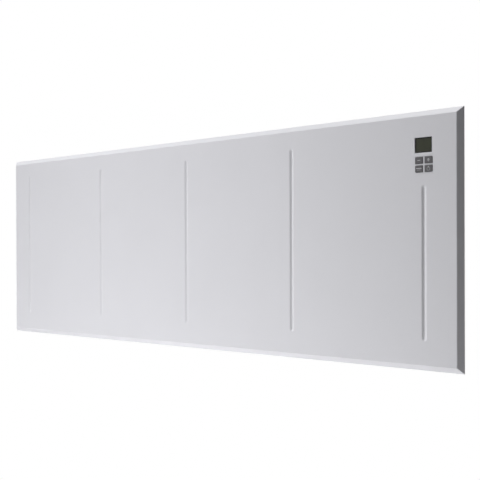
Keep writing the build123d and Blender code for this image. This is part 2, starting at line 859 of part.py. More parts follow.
with BuildPart() as terminal_screws:
    with BuildSketch(at_depth(block_front)):
        with Locations((block_x, block_bottom + block_height / 2)):
            with GridLocations(pole_pitch, 0, pole_count, 1):
                Circle(block_screw_radius)
    extrude(amount=-block_screw_length)
    with BuildSketch(at_depth(block_front)):
        with Locations((block_x, block_bottom + block_height / 2)):
            with GridLocations(pole_pitch, 0, pole_count, 1):
                Rectangle(block_screw_radius / 3, 2 * block_screw_radius)
    extrude(amount=-block_screw_length / 4, mode=Mode.SUBTRACT)
terminal_screws.part.label = "terminal_screws"
export_step(terminal_screws.part, "parts/terminal_screws.step")

with BuildPart() as relay:
    with BuildSketch(at_depth(board_front)):
        with Locations((block_x, board_bottom + relay_rise)):
            Rectangle(relay_size[0], relay_size[1])
    extrude(amount=relay_size[2])
    fillet(relay.edges().filter_by(Axis.Y), radius=1.0)
relay.part.label = "relay"
export_step(relay.part, "parts/relay.step")

core_z = board_bottom + transformer_rise
core_width, core_height, core_stack = core_size
window_width = (core_width - 3 * core_leg) / 2

with BuildPart() as transformer_core:
    with BuildSketch(at_depth(board_front + coil_growth)):
        with Locations((block_x, core_z)):
            Rectangle(core_width, core_height)
            with GridLocations(core_leg + window_width, 0, 2, 1):
                Rectangle(window_width, core_height - core_leg, mode=Mode.SUBTRACT)
    extrude(amount=core_stack)
transformer_core.part.label = "transformer_core"
export_step(transformer_core.part, "parts/transformer_core.step")

coil_height = core_height - core_leg - 2 * sliding_clearance

with BuildPart() as transformer_coil:
    with BuildSketch(level(core_z - coil_height / 2)):
        with Locations((block_x, -(board_front + coil_growth + core_stack / 2))):
            RectangleRounded(
                core_leg + 2 * window_width - 2 * sliding_clearance, core_stack + 2 * coil_growth, coil_growth / 2
            )
            Rectangle(
                core_leg + 2 * hole_clearance, core_stack + 2 * hole_clearance, mode=Mode.SUBTRACT
            )
    extrude(amount=coil_height)
transformer_coil.part.label = "transformer_coil"
export_step(transformer_coil.part, "parts/transformer_coil.step")

with BuildPart() as capacitors:
    with BuildSketch(at_depth(board_front)):
        with Locations((block_x, board_bottom + capacitor_rise)):
            with GridLocations(capacitor_pitch, 0, 2, 1):
                Circle(capacitor_radius)
    extrude(amount=capacitor_height)
    chamfer(capacitors.edges().group_by(Axis.Y)[0], length=capacitor_radius / 8)
capacitors.part.label = "capacitors"
export_step(capacitors.part, "parts/capacitors.step")

# flat cable from the power board, forward and up to the back of the display board
ribbon_start = board_bottom + power_board_height - ribbon_drop / 2
ribbon_end = housing_z - housing_height / 2 + ribbon_top_margin
ribbon_middle_depth = (board_front + display_board_back) / 2

with BuildPart() as display_cable:
    with BuildSketch(across(keypad_x - ribbon_width / 2)):
        with BuildLine():
            FilletPolyline(
                (-board_front, ribbon_start),
                (-ribbon_middle_depth, ribbon_start),
                (-ribbon_middle_depth, ribbon_end),
                (-display_board_back, ribbon_end),
                radius=ribbon_bend,
            )
        trace(line_width=ribbon_thickness)
    extrude(amount=ribbon_width)
display_cable.part.label = "display_cable"
export_step(display_cable.part, "parts/display_cable.step")

# ---- wiring -------------------------------------------------------------------------------------

lead_corners = {
    "cutout_to_element_lead": [
        (pin_end, rod_heights[0]),
        (riser_x, rod_heights[0]),
        (riser_x, cutout_z - tab_offset),
        (tab_end, cutout_z - tab_offset),
    ],
    "board_to_cutout_lead": [
        (first_pole_x, block_top - lead_entry),
        (first_pole_x, cutout_z + tab_offset),
        (tab_end, cutout_z + tab_offset),
    ],
    "neutral_lead": [
        (pin_end, rod_heights[1]),
        (first_pole_x, rod_heights[1]),
        (first_pole_x, block_bottom + lead_entry),
    ],
}

for lead_name, corners in lead_corners.items():
    with BuildPart() as lead:
        with BuildLine(at_depth(element_depth)) as route:
            FilletPolyline(*corners, radius=lead_bend)
        lead_wire = route.wires()[0]
        with BuildSketch(end_plane(lead_wire)):
            Circle(lead_radius)
        sweep(path=lead_wire)
    lead.part.label = lead_name
    export_step(lead.part, f"parts/{lead_name}.step")

earth_x = partition_x + earth_from_partition
earth_z = -inner_top + earth_rise
lug_back = casing_floor + earth_stud_length / 2

with BuildPart() as earth_stud:
    with BuildSketch(at_depth(casing_floor)):
        with Locations((earth_x, earth_z)):
            Circle(earth_stud_radius)
    extrude(amount=earth_stud_length)
earth_stud.part.label = "earth_stud"
export_step(earth_stud.part, "parts/earth_stud.step")

with BuildPart() as earth_nuts:
    for nut_back in (lug_back - earth_nut_height, lug_back + earth_lug_thickness):
        with BuildSketch(at_depth(nut_back)):
            with Locations((earth_x, earth_z)):
                RegularPolygon(earth_nut_radius, 6)
                Circle(earth_stud_radius + hole_clearance / 2, mode=Mode.SUBTRACT)
        extrude(amount=earth_nut_height)
earth_nuts.part.label = "earth_nuts"
export_step(earth_nuts.part, "parts/earth_nuts.step")

with BuildPart() as earth_lead:
    with BuildSketch(at_depth(lug_back)):
        with Locations((earth_x, earth_z)):
            Circle(earth_lug_radius)
        with Locations((earth_x + earth_lug_radius, earth_z)):
            Rectangle(2 * earth_lug_radius, 2 * lead_radius)
        with Locations((earth_x, earth_z)):
            Circle(earth_stud_radius + hole_clearance, mode=Mode.SUBTRACT)
    extrude(amount=earth_lug_thickness)
    with BuildLine() as earth_route:
        FilletPolyline(
            (earth_x + 1.5 * earth_lug_radius, -lug_back - earth_lug_thickness / 2, earth_z),
            (last_pole_x, -lug_back - earth_lug_thickness / 2, earth_z),
            (last_pole_x, -wire_depth, (earth_z + block_bottom) / 2),
            (last_pole_x, -wire_depth, block_bottom + lead_entry),
            radius=lead_bend,
        )
    earth_wire = earth_route.wires()[0]
    with BuildSketch(end_plane(earth_wire)):
        Circle(lead_radius)
    sweep(path=earth_wire)
earth_lead.part.label = "earth_lead"
export_step(earth_lead.part, "parts/earth_lead.step")

# ---- room sensor --------------------------------------------------------------------------------

sensor_x = partition_x + sensor_from_partition
sensor_bottom = -inner_top + sensor_rise
clip_radius = sensor_radius + hole_clearance + clip_wall

with BuildPart() as room_sensor:
    with BuildSketch(level(sensor_bottom)):
        with Locations((sensor_x, -sensor_depth)):
            Circle(sensor_radius)
    extrude(amount=sensor_length)
    chamfer(room_sensor.edges().group_by(Axis.Z)[0], length=sensor_radius / 2)
room_sensor.part.label = "room_sensor"
export_step(room_sensor.part, "parts/room_sensor.step")

# the clip's foot stands on the casing floor and its split ring holds the probe
with BuildPart() as sensor_clip:
    with BuildSketch(level(-inner_top)):
        with Locations((sensor_x, -sensor_depth)):
            Circle(clip_radius)
            Circle(sensor_radius + hole_clearance, mode=Mode.SUBTRACT)
            with Locations((0, -clip_radius)):
                Rectangle(1.2 * sensor_radius, 2 * clip_radius, mode=Mode.SUBTRACT)
    extrude(amount=sensor_rise + clip_height)
    with BuildSketch(level(-inner_top)):
        with Locations((sensor_x, -sensor_depth)):
            Rectangle(2 * clip_radius, 2 * clip_radius)
    extrude(amount=clip_wall)
sensor_clip.part.label = "sensor_clip"
export_step(sensor_clip.part, "parts/sensor_clip.step")

plug_width, plug_height = sensor_plug_size
plug_bottom = board_bottom + block_rise

with BuildPart() as sensor_plug:
    with BuildSketch(at_depth(board_front)):
        with Locations((sensor_x, plug_bottom + plug_height / 2)):
            Rectangle(plug_width, plug_height)
    extrude(amount=plug_width)
sensor_plug.part.label = "sensor_plug"
export_step(sensor_plug.part, "parts/sensor_plug.step")

sensor_lead_length = plug_bottom - sensor_bottom - sensor_length
with BuildPart() as sensor_lead:
    with BuildSketch(level(sensor_bottom + sensor_length)):
        with Locations((sensor_x, -sensor_depth)):
            Circle(lead_radius / 2)
    extrude(amount=sensor_lead_length)
sensor_lead.part.label = "sensor_lead"
export_step(sensor_lead.part, "parts/sensor_lead.step")

# ---- cable gland --------------------------------------------------------------------------------

with BuildPart() as cable_gland:
    with BuildSketch(level(-casing_top)):
        with Locations((block_x, -wire_depth)):
            RegularPolygon(gland_hex_radius, 6)
    extrude(amount=-gland_hex_height)
    with BuildSketch(level(-casing_top)):
        with Locations((block_x, -wire_depth)):
            Circle(gland_radius)
    extrude(amount=casing_sheet + gland_nut_height + slot_clearance)
    with BuildSketch(level(-casing_top - gland_hex_height)):
        with Locations((block_x, -wire_depth)):
            Circle(gland_cap_radius)
    extrude(amount=-gland_cap_height)
    chamfer(cable_gland.edges().group_by(Axis.Z)[0], length=gland_cap_radius / 3)
    with BuildSketch(level(-casing_top - gland_hex_height - gland_cap_height)):
        with Locations((block_x, -wire_depth)):
            Circle(cable_radius)
    extrude(
        amount=gland_cap_height + gland_hex_height + casing_sheet + gland_nut_height + slot_clearance,
        mode=Mode.SUBTRACT,
    )
cable_gland.part.label = "cable_gland"
export_step(cable_gland.part, "parts/cable_gland.step")

with BuildPart() as gland_nut:
    with BuildSketch(level(-inner_top)):
        with Locations((block_x, -wire_depth)):
            RegularPolygon(gland_hex_radius, 6)
            Circle(gland_radius + hole_clearance / 2, mode=Mode.SUBTRACT)
    extrude(amount=gland_nut_height)
gland_nut.part.label = "gland_nut"
export_step(gland_nut.part, "parts/gland_nut.step")

# ---- casing screws and wall buffers -------------------------------------------------------------

# hexagon-headed sheet screws, driven from behind through the flange into the lip
with BuildPart() as casing_screws:
    with BuildSketch(at_depth(lip_back - casing_sheet)):
        with GridLocations(edge_screw_pitch, casing_height + casing_flange, screws_per_edge, 2):
            RegularPolygon(screw_head_radius, 6)
        with GridLocations(casing_length + casing_flange, side_screw_pitch, 2, 2):
            RegularPolygon(screw_head_radius, 6)
    extrude(amount=-screw_head_height)
    with BuildSketch(at_depth(lip_back - casing_sheet)):
        with GridLocations(edge_screw_pitch, casing_height + casing_flange, screws_per_edge, 2):
            Circle(screw_radius)
        with GridLocations(casing_length + casing_flange, side_screw_pitch, 2, 2):
            Circle(screw_radius)
    extrude(amount=screw_length)
casing_screws.part.label = "casing_screws"
export_step(casing_screws.part, "parts/casing_screws.step")

with BuildPart() as wall_buffers:
    for side in (-1, 1):
        buffer_spot = (side * (inner_end - buffer_side_margin), -inner_top + buffer_bottom_margin)
        with BuildSketch(at_depth(standoff)):
            with Locations(buffer_spot):
                Circle(buffer_radius)
        extrude(amount=-standoff, taper=8)
        with BuildSketch(at_depth(standoff)):
            with Locations(buffer_spot):
                Circle(buffer_stem_radius)
        extrude(amount=buffer_stem_length)
wall_buffers.part.label = "wall_buffers"
export_step(wall_buffers.part, "parts/wall_buffers.step")

# ---- wall bracket -------------------------------------------------------------------------------

for side, upright_name in ((-1, "bracket_upright_left"), (1, "bracket_upright_right")):
    with BuildPart() as upright:
        with BuildSketch(at_depth(0)):
            with Locations((side * bracket_spacing / 2, 0)):
                RectangleRounded(upright_width, upright_height, 2 * bracket_sheet)
                with GridLocations(0, fixing_pitch, 1, 2):
                    Circle(fixing_radius, mode=Mode.SUBTRACT)
                for rail_z in (-rail_pitch / 2, rail_pitch / 2):
                    with Locations((0, rail_z)):
                        with GridLocations(rivet_pitch, 0, 2, 1):
                            Circle(rivet_radius + hole_clearance, mode=Mode.SUBTRACT)
        extrude(amount=bracket_sheet)
        # the outer flange carries two hooks, each a neck with a tongue turned up behind the casing sheet
        with BuildSketch(across(side * hook_x - bracket_sheet / 2)):
            with Locations((-upright_reach / 2, 0)):
                Rectangle(upright_reach, upright_height - 4 * bracket_sheet)
            for hook_z in (-hook_pitch / 2, hook_pitch / 2):
                with Locations((-upright_reach, hook_z)):
                    Rectangle(2 * hook_reach, hook_neck, align=(Align.CENTER, Align.MAX))
                with Locations((-upright_reach - hook_reach + hook_tongue, hook_z)):
                    Rectangle(hook_tongue, hook_rise, align=(Align.MAX, Align.MIN))
        extrude(amount=bracket_sheet)
    upright.part.label = upright_name
    export_step(upright.part, f"parts/{upright_name}.step")

rail_length = bracket_spacing + rivet_pitch + 2 * rivet_head_radius - 2 * bracket_sheet
for rail_z, rail_name in ((-rail_pitch / 2, "bracket_rail_lower"), (rail_pitch / 2, "bracket_rail_upper")):
    with BuildPart() as rail:
        with BuildSketch(at_depth(bracket_sheet)):
            with Locations((0, rail_z)):
                Rectangle(rail_length, rail_height)
                for side in (-1, 1):
                    with Locations((side * bracket_spacing / 2, 0)):
                        with GridLocations(rivet_pitch, 0, 2, 1):
                            Circle(rivet_radius + hole_clearance, mode=Mode.SUBTRACT)
        extrude(amount=bracket_sheet)
    rail.part.label = rail_name
    export_step(rail.part, f"parts/{rail_name}.step")

with BuildPart() as bracket_rivets:
    for rivet_part_radius, rivet_back, rivet_front in (
        (rivet_radius, 0, 2 * bracket_sheet),
        (rivet_head_radius, 2 * bracket_sheet, 2 * bracket_sheet + rivet_head_height),
    ):
        with BuildSketch(at_depth(rivet_back)):
            for side in (-1, 1):
                for rail_z in (-rail_pitch / 2, rail_pitch / 2):
                    with Locations((side * bracket_spacing / 2, rail_z)):
                        with GridLocations(rivet_pitch, 0, 2, 1):
                            Circle(rivet_part_radius)
        extrude(amount=rivet_front - rivet_back)
bracket_rivets.part.label = "bracket_rivets"
export_step(bracket_rivets.part, "parts/bracket_rivets.step")
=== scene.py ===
import json
from math import pi, radians
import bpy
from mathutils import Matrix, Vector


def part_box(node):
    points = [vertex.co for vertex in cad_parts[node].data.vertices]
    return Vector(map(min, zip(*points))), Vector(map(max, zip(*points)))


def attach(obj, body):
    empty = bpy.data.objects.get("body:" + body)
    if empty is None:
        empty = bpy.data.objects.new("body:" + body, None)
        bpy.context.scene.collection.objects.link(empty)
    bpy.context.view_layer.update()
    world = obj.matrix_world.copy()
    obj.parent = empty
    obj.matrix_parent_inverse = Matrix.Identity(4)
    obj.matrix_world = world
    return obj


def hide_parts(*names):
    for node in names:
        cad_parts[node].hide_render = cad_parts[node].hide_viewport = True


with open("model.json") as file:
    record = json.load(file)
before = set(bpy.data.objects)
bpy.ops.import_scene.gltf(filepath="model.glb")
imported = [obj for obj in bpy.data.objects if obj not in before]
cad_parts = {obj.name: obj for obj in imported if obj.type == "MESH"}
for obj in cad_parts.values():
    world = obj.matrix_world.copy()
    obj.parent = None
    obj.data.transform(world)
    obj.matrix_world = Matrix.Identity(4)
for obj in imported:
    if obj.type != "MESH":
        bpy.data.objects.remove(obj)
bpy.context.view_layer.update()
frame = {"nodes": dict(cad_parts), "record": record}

from types import SimpleNamespace

import bmesh
import bpy
from bpy.props import FloatProperty, FloatVectorProperty, IntProperty, PointerProperty
from mathutils import Vector

bl_info = {
    "name": "Wall panel heater",
    "version": (1, 0, 0),
    "blender": (4, 5, 0),
    "location": "3D View > Sidebar > Heater",
    "description": "Dresses a wall panel convector heater around its packed CAD model",
    "category": "Object",
}

MM = 0.001


def box_of(node):
    """Low and high corner of a CAD node, in millimetres."""
    low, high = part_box(node)
    return low / MM, high / MM


# ---- sizes and colours that a user would change ----


def length(name, description, value):
    """A length in metres, shown as such in the sidebar; the value is given in millimetres."""
    return FloatProperty(name=name, description=description, default=value * MM,
                         subtype="DISTANCE", unit="LENGTH", precision=5)


def colour(name, description, value):
    """A linear colour."""
    return FloatVectorProperty(name=name, description=description, default=value,
                               subtype="COLOR", size=3, min=0, max=1)


class PanelSizes(bpy.types.PropertyGroup):
    """Pressed front panel."""

    sheet: length("Sheet", "Thickness of the panel's steel", 1.2)
    bevel_width: length("Bevel width", "Width of the sloping border", 8.6)
    fold_radius: length("Fold radius", "Radius of the fold between face and border", 0.9)
    rim_radius: length("Rim radius", "Rounding of the panel's outer rim", 0.4)
    groove_width: length("Groove width", "Width of a pressed groove", 10.4)
    groove_depth: length("Groove depth", "Depth of a pressed groove", 2.0)
    groove_runout: length("Groove run-out", "Length over which a groove fades at its ends", 5.0)
    groove_bottom: length("Groove bottom", "Height of the grooves' lower points", -152.8)
    groove_top: length("Groove top", "Height of the grooves' upper points", 160.5)
    short_groove_top: length("Short groove top", "Upper point of the groove under the keys", 84.3)
    groove_pitch: length("Groove pitch", "Distance from groove to groove", 267.2)
    groove_count: IntProperty(name="Grooves", description="Number of grooves", default=5, min=1)


class KeypadSizes(bpy.types.PropertyGroup):
    """Display window and keys."""

    middle_x: length("Middle", "Place of the keypad along the panel", 534.4)
    keys_z: length("Keys height", "Height of the middle of the keys", 116.9)
    display_x: length("Display middle", "Place of the display along the panel", 533.4)
    display_z: length("Display level", "Height of the middle of the display", 146.85)
    display_width: length("Display width", "Width of the display opening", 30.5)
    display_height: length("Display height", "Height of the display opening", 23.7)
    display_frame: length("Display frame", "Dark border of the display glass", 1.5)
    key_width: length("Key width", "Width of one key", 13.7)
    key_height: length("Key height", "Height of one key", 10.1)
    key_gap: length("Key gap", "Gap between neighbouring keys", 3.25)
    key_corner: length("Key corner", "Radius of each key's outer corner", 2.0)
    clearance: length("Clearance", "Gap between a key and its opening", 0.25)
    mouth: length("Mouth", "Softened edge of each opening", 0.35)


class CasingSizes(bpy.types.PropertyGroup):
    """Rear casing."""

    sheet: length("Sheet", "Thickness of the casing's steel", 1.0)
    flange: length("Flange", "Width of the flange that is screwed to the panel", 14.0)
    corner: length("Corner", "Radius of the tray's upright corners", 6.0)
    rib_width: length("Rib width", "Width of a stiffening rib", 10.0)
    rib_depth: length("Rib depth", "Depth of a stiffening rib", 2.0)
    rib_height: length("Rib height", "Distance of each rib from the middle", 60.0)
    rib_left: length("Rib left end", "Left end of the ribs", -505.0)
    rib_right: length("Rib right end", "Right end of the ribs", 447.0)


class FinishColours(bpy.types.PropertyGroup):
    """Colours of the finishes, linear."""

    panel_enamel: colour("Panel enamel", "Powder coat of the front panel", (0.778, 0.777, 0.815))
    casing_enamel: colour("Casing enamel", "Powder coat of the rear casing", (0.74, 0.74, 0.745))
    grille_enamel: colour("Grille enamel", "Colour of the outlet grille", (0.70, 0.70, 0.705))
    key_grey: colour("Key grey", "Moulded keys", (0.086, 0.084, 0.090))
    sign_ink: colour("Sign ink", "Printed signs on the keys", (0.56, 0.56, 0.58))
    display_glass: colour("Display glass", "Unlit display", (0.033, 0.037, 0.018))
    window_smoke: colour("Window smoke", "Dark border of the display", (0.009, 0.009, 0.008))


class StageSettings(bpy.types.PropertyGroup):
    """Floor, light and camera."""

    floor_z: length("Floor height", "Height of the studio floor", -900.0)
    floor_radius: length("Floor radius", "Radius of the studio floor", 1700.0)
    ambient: FloatProperty(name="Ambient", description="Soft light from all round", default=0.01, min=0)
    lamp_level: FloatProperty(name="Lamp level", description="Factor on every lamp", default=1.0, min=0)
    lens: FloatProperty(name="Lens", description="Focal length of the camera", default=69.89,
                        subtype="DISTANCE_CAMERA")


SETTINGS = {
    "heater_panel": PanelSizes,
    "heater_keypad": KeypadSizes,
    "heater_casing": CasingSizes,
    "heater_colours": FinishColours,
    "heater_stage": StageSettings,
}


def sizes_of(name):
    """A group's sizes as the sidebar has them, the lengths in millimetres."""
    group = getattr(bpy.context.scene, name)
    values = {key: getattr(group, key) for key in SETTINGS[name].__annotations__}
    return SimpleNamespace(**{key: value / MM if isinstance(value, float) else value
                              for key, value in values.items()})


# values that two or more functions share, in millimetres
GRILLE_RIM, BRACKET_SHEET, UPRIGHT_OUTSIDE, UPRIGHT_WIDTH = 3.0, 1.5, 300.0, 40.0
CUTTER_LENGTH = 6.0

# each key with its column and row, counted from the middle of the four
KEYS = (("key_minus", -1, 1), ("key_plus", 1, 1), ("key_mode", -1, -1), ("key_power", 1, -1))
# bars of each key's generic sign: place from the key's middle, width and height, in millimetres
SIGN_BARS = {
    "key_minus": ((0, 0, 5.2, 0.9),),
    "key_plus": ((0, 0, 4.4, 1.6), (0, 0, 2.0, 4.8)),
    "key_mode": ((0, 0.9, 9.6, 1.0), (0, -1.5, 6.0, 0.4)),
    "key_power": ((0, 2.6, 1.5, 2.4),),
}

# each lamp: place, what it is aimed at, width and height in metres, and power in watts
LAMPS = (
    ("high_left_lamp", (-7.0, -5.5, 5.0), (0, 0, 0), (3.0, 3.0), 375.0),
    ("front_lamp", (-0.25, -1.0, 0.0), (-0.35, 0, 0), (0.8, 0.8), 3.1),
    ("top_lamp", (-0.2, -0.5, 2.4), (-0.1, 0, 0), (1.8, 0.4), 36.7),
    ("floor_lamp", (-0.2, -0.5, -0.87), (-0.2, -0.5, 0), (1.8, 0.3), 5.4),
    ("floor_right_lamp", (0.3, -0.25, -0.87), (0.3, -0.25, 0), (0.6, 0.2), 1.2),
    ("back_lamp", (-0.8, 2.4, 0.2), (0, 0, 0), (1.8, 1.8), 45.0),
    ("right_back_lamp", (2.2, 1.6, -0.2), (0.2, 0, 0), (1.2, 1.2), 6.0),
)
# the camera's place in metres, its turn in degrees and its upward shift as a share of the picture
CAMERA_PLACE, CAMERA_TURN, CAMERA_SHIFT = (1.3204, -1.2994, -0.0185), (89.704, 0.192, 43.855), 18.2 / 480


# ---- modelling by hand ----


class PieceOperator:
    """What the operators share: each is one undo step."""

    bl_options = {"REGISTER", "UNDO"}


def start_clean():
    """Leaves edit mode with nothing selected."""
    if bpy.context.object and bpy.context.object.mode != "OBJECT":
        bpy.ops.object.mode_set(mode="OBJECT")
    bpy.ops.object.select_all(action="DESELECT")


def take(piece):
    """Makes a piece the only one selected and active."""
    start_clean()
    piece.select_set(True)
    bpy.context.view_layer.objects.active = piece
    return piece


def begin(name):
    """Names a new primitive, puts its place into its mesh and opens it for shaping."""
    piece = bpy.context.object
    piece.name = piece.data.name = name
    bpy.ops.object.transform_apply(location=True, rotation=True, scale=True)
    bpy.ops.object.mode_set(mode="EDIT")
    return piece


def block(name, x, depth, z):
    """A block between two values each of x, depth in front of the wall and z, in millimetres."""
    start_clean()
    low, high = Vector((x[0], -depth[1], z[0])), Vector((x[1], -depth[0], z[1]))
    bpy.ops.mesh.primitive_cube_add(size=1, location=(low + high) / 2 * MM, scale=(high - low) * MM)
    return begin(name)


def span(centre, width):
    """The two ends of a width about its middle."""
    return centre - width / 2, centre + width / 2


def rod(name, radius, start, end, sides=32, end_radius=None):
    """A round or many-sided bar from one point to another, in millimetres."""
    start_clean()
    start, end = Vector(start) * MM, Vector(end) * MM
    axis = end - start
    bpy.ops.mesh.primitive_cone_add(
        vertices=sides, radius1=radius * MM, radius2=(end_radius or radius) * MM, depth=axis.length,
        location=(start + end) / 2, rotation=axis.to_track_quat("Z", "Y").to_euler())
    return begin(name)


def closed():
    """Leaves the open piece."""
    bpy.ops.object.mode_set(mode="OBJECT")
    return bpy.context.object


def pick(kind, test):
    """Selects in the open piece each vertex, edge or face that passes the test."""
    bpy.ops.mesh.select_mode(type=kind)
    bpy.ops.mesh.select_all(action="DESELECT")
    data = bpy.context.object.data
    mesh = bmesh.from_edit_mesh(data)
    mesh.normal_update()
    found = [part for part in {"VERT": mesh.verts, "EDGE": mesh.edges, "FACE": mesh.faces}[kind]
             if test(part)]
    for part in found:
        part.select_set(True)
    mesh.select_flush_mode()
    bmesh.update_edit_mesh(data)
    if not found:
        raise RuntimeError(f"nothing to select on {bpy.context.object.name}")


def near(value, *targets):
    """Whether a place in metres is one of these in millimetres."""
    return any(abs(value - target * MM) < 0.02 * MM for target in targets)


def between(value, low, high):
    """Whether a place in metres lies between two in millimetres."""
    return low * MM < value < high * MM


def middle(face):
    """The middle of a face."""
    return face.calc_center_median()


def looks(face, x=0, y=0, z=0):
    """Whether a face looks this way along an axis."""
    return face.normal.dot(Vector((x, y, z))) > 0.99


def looks_aside(face, axis):
    """Whether a face looks across an axis, rather than along it."""
    return abs(face.normal[axis]) < 0.2


def both(edge, test):
    """Whether both ends of an edge pass a test of their place."""
    return test(edge.verts[0].co) and test(edge.verts[1].co)


def pick_facing(x=0, y=0, z=0):
    """Selects the faces that look this way."""
    pick("FACE", lambda face: looks(face, x, y, z))


def pick_edges(test, axis=None):
    """Selects the edges with both ends where the test allows, or only those along an axis."""

    def along(edge):
        way = edge.verts[1].co - edge.verts[0].co
        return axis is None or abs(way[axis]) > 0.999 * way.length

    pick("EDGE", lambda edge: both(edge, test) and along(edge))


def pick_ring(axis, place):
    """Selects the edges that lie at a place on an axis."""
    pick_edges(lambda at: near(at[axis], place))


def push(x=0, depth=0, z=0):
    """Extrudes what is selected; depth is toward the room, in millimetres."""
    bpy.ops.mesh.extrude_region_move(TRANSFORM_OT_translate={"value": (x * MM, -depth * MM, z * MM)})


def shift(x=0, depth=0, z=0, **options):
    """Moves what is selected, in millimetres."""
    bpy.ops.transform.translate(value=(x * MM, -depth * MM, z * MM), **options)


def grow(x=1, y=1, z=1, centre=(0, 0, 0)):
    """Scales what is selected about a point in millimetres."""
    bpy.ops.transform.resize(value=(x, y, z), center_override=Vector(centre) * MM)


def inset(thickness):
    """Insets the selected faces, in millimetres."""
    bpy.ops.mesh.inset(thickness=thickness * MM, use_even_offset=True)


def round_off(radius, segments=3):
    """Rounds the selected edges."""
    bpy.ops.mesh.bevel(offset=radius * MM, segments=segments, affect="EDGES", clamp_overlap=True)


def round_along(axis, radius, segments=3):
    """Rounds the edges that run along an axis."""
    pick_edges(lambda at: True, axis)
    round_off(radius, segments)


def slice_at(axis, *places):
    """Cuts the open piece all through, square to an axis, at places in millimetres."""
    for place in places:
        bpy.ops.mesh.select_all(action="SELECT")
        point, way = Vector((0, 0, 0)), Vector((0, 0, 0))
        point[axis], way[axis] = place * MM, 1
        bpy.ops.mesh.bisect(plane_co=point, plane_no=way, threshold=1e-7)


def slice_strips(axis, middles, width, *shares):
    """Cuts along each middle, and on both sides of it at these shares of the half width."""
    slice_at(axis, *(place + share * width / 2 for place in middles
                     for share in (0, *shares, *(-share for share in shares))))


def dent(test, depth, reach):
    """Presses the picked vertices toward the room, and the sheet within reach with them."""
    pick("VERT", test)
    shift(depth=depth, use_proportional_edit=True, proportional_edit_falloff="SMOOTH",
          proportional_size=reach * MM)


def with_modifier(piece, kind, **values):
    """Adds a modifier, sets it and applies it."""
    take(piece)
    bpy.ops.object.modifier_add(type=kind)
    modifier = piece.modifiers[-1]
    for name, value in values.items():
        setattr(modifier, name, value)
    bpy.ops.object.modifier_apply(modifier=modifier.name)
    return piece


def soften(piece, radius, segments=2, angle=60):
    """Takes the sharpness off every edge of a piece."""
    return with_modifier(piece, "BEVEL", width=radius * MM, segments=segments, limit_method="ANGLE",
                         angle_limit=radians(angle))


def joined(first, *others):
    """Joins pieces into the first."""
    take(first)
    for other in others:
        other.select_set(True)
    if others:
        bpy.ops.object.join()
    return first


def cut(piece, *cutters):
    """Cuts the cutters out of a piece and deletes them."""
    tool = joined(*cutters)
    with_modifier(piece, "BOOLEAN", object=tool, operation="DIFFERENCE", solver="EXACT")
    bpy.data.objects.remove(tool)
    return piece


def copies(piece, *moves):
    """The piece with copies of it, each moved by (x, depth, z) in millimetres, joined."""
    made = []
    for move in moves:
        take(piece)
        bpy.ops.object.duplicate(linked=False)
        shift(*move)
        bpy.ops.object.transform_apply(location=True, rotation=False, scale=False)
        made.append(bpy.context.object)
    return joined(piece, *made)


def paint_faces(test, slot_index):
    """Gives the picked faces of the open piece another of its finishes."""
    pick("FACE", test)
    piece = bpy.context.object
    while len(piece.data.materials) <= slot_index:
        piece.data.materials.append(None)
    piece.active_material_index = slot_index
    bpy.ops.object.material_slot_assign()


def dress(piece, body, slot, *nodes, finishes=()):
    """Shades a finished piece smooth, gives it its finishes (its record slot's finish where none are named),
    sets it on its body and hides the CAD nodes it replaces.
    """
    take(piece)
    bpy.ops.object.shade_smooth_by_angle(angle=radians(35))
    with_modifier(piece, "WEIGHTED_NORMAL", keep_sharp=True, weight=50)
    for index, name in enumerate(finishes or (slot,)):
        if index == len(piece.data.materials):
            piece.data.materials.append(None)
        piece.data.materials[index] = finish_of(name)
    start_clean()
    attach(piece, body)
    if nodes:
        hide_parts(*nodes)


# ---- finishes ----

COAT = dict(blotch=9, detail=2, shade=0.985, uneven=0.03, grain=420, height=0.012)
METAL = dict(metallic=1)
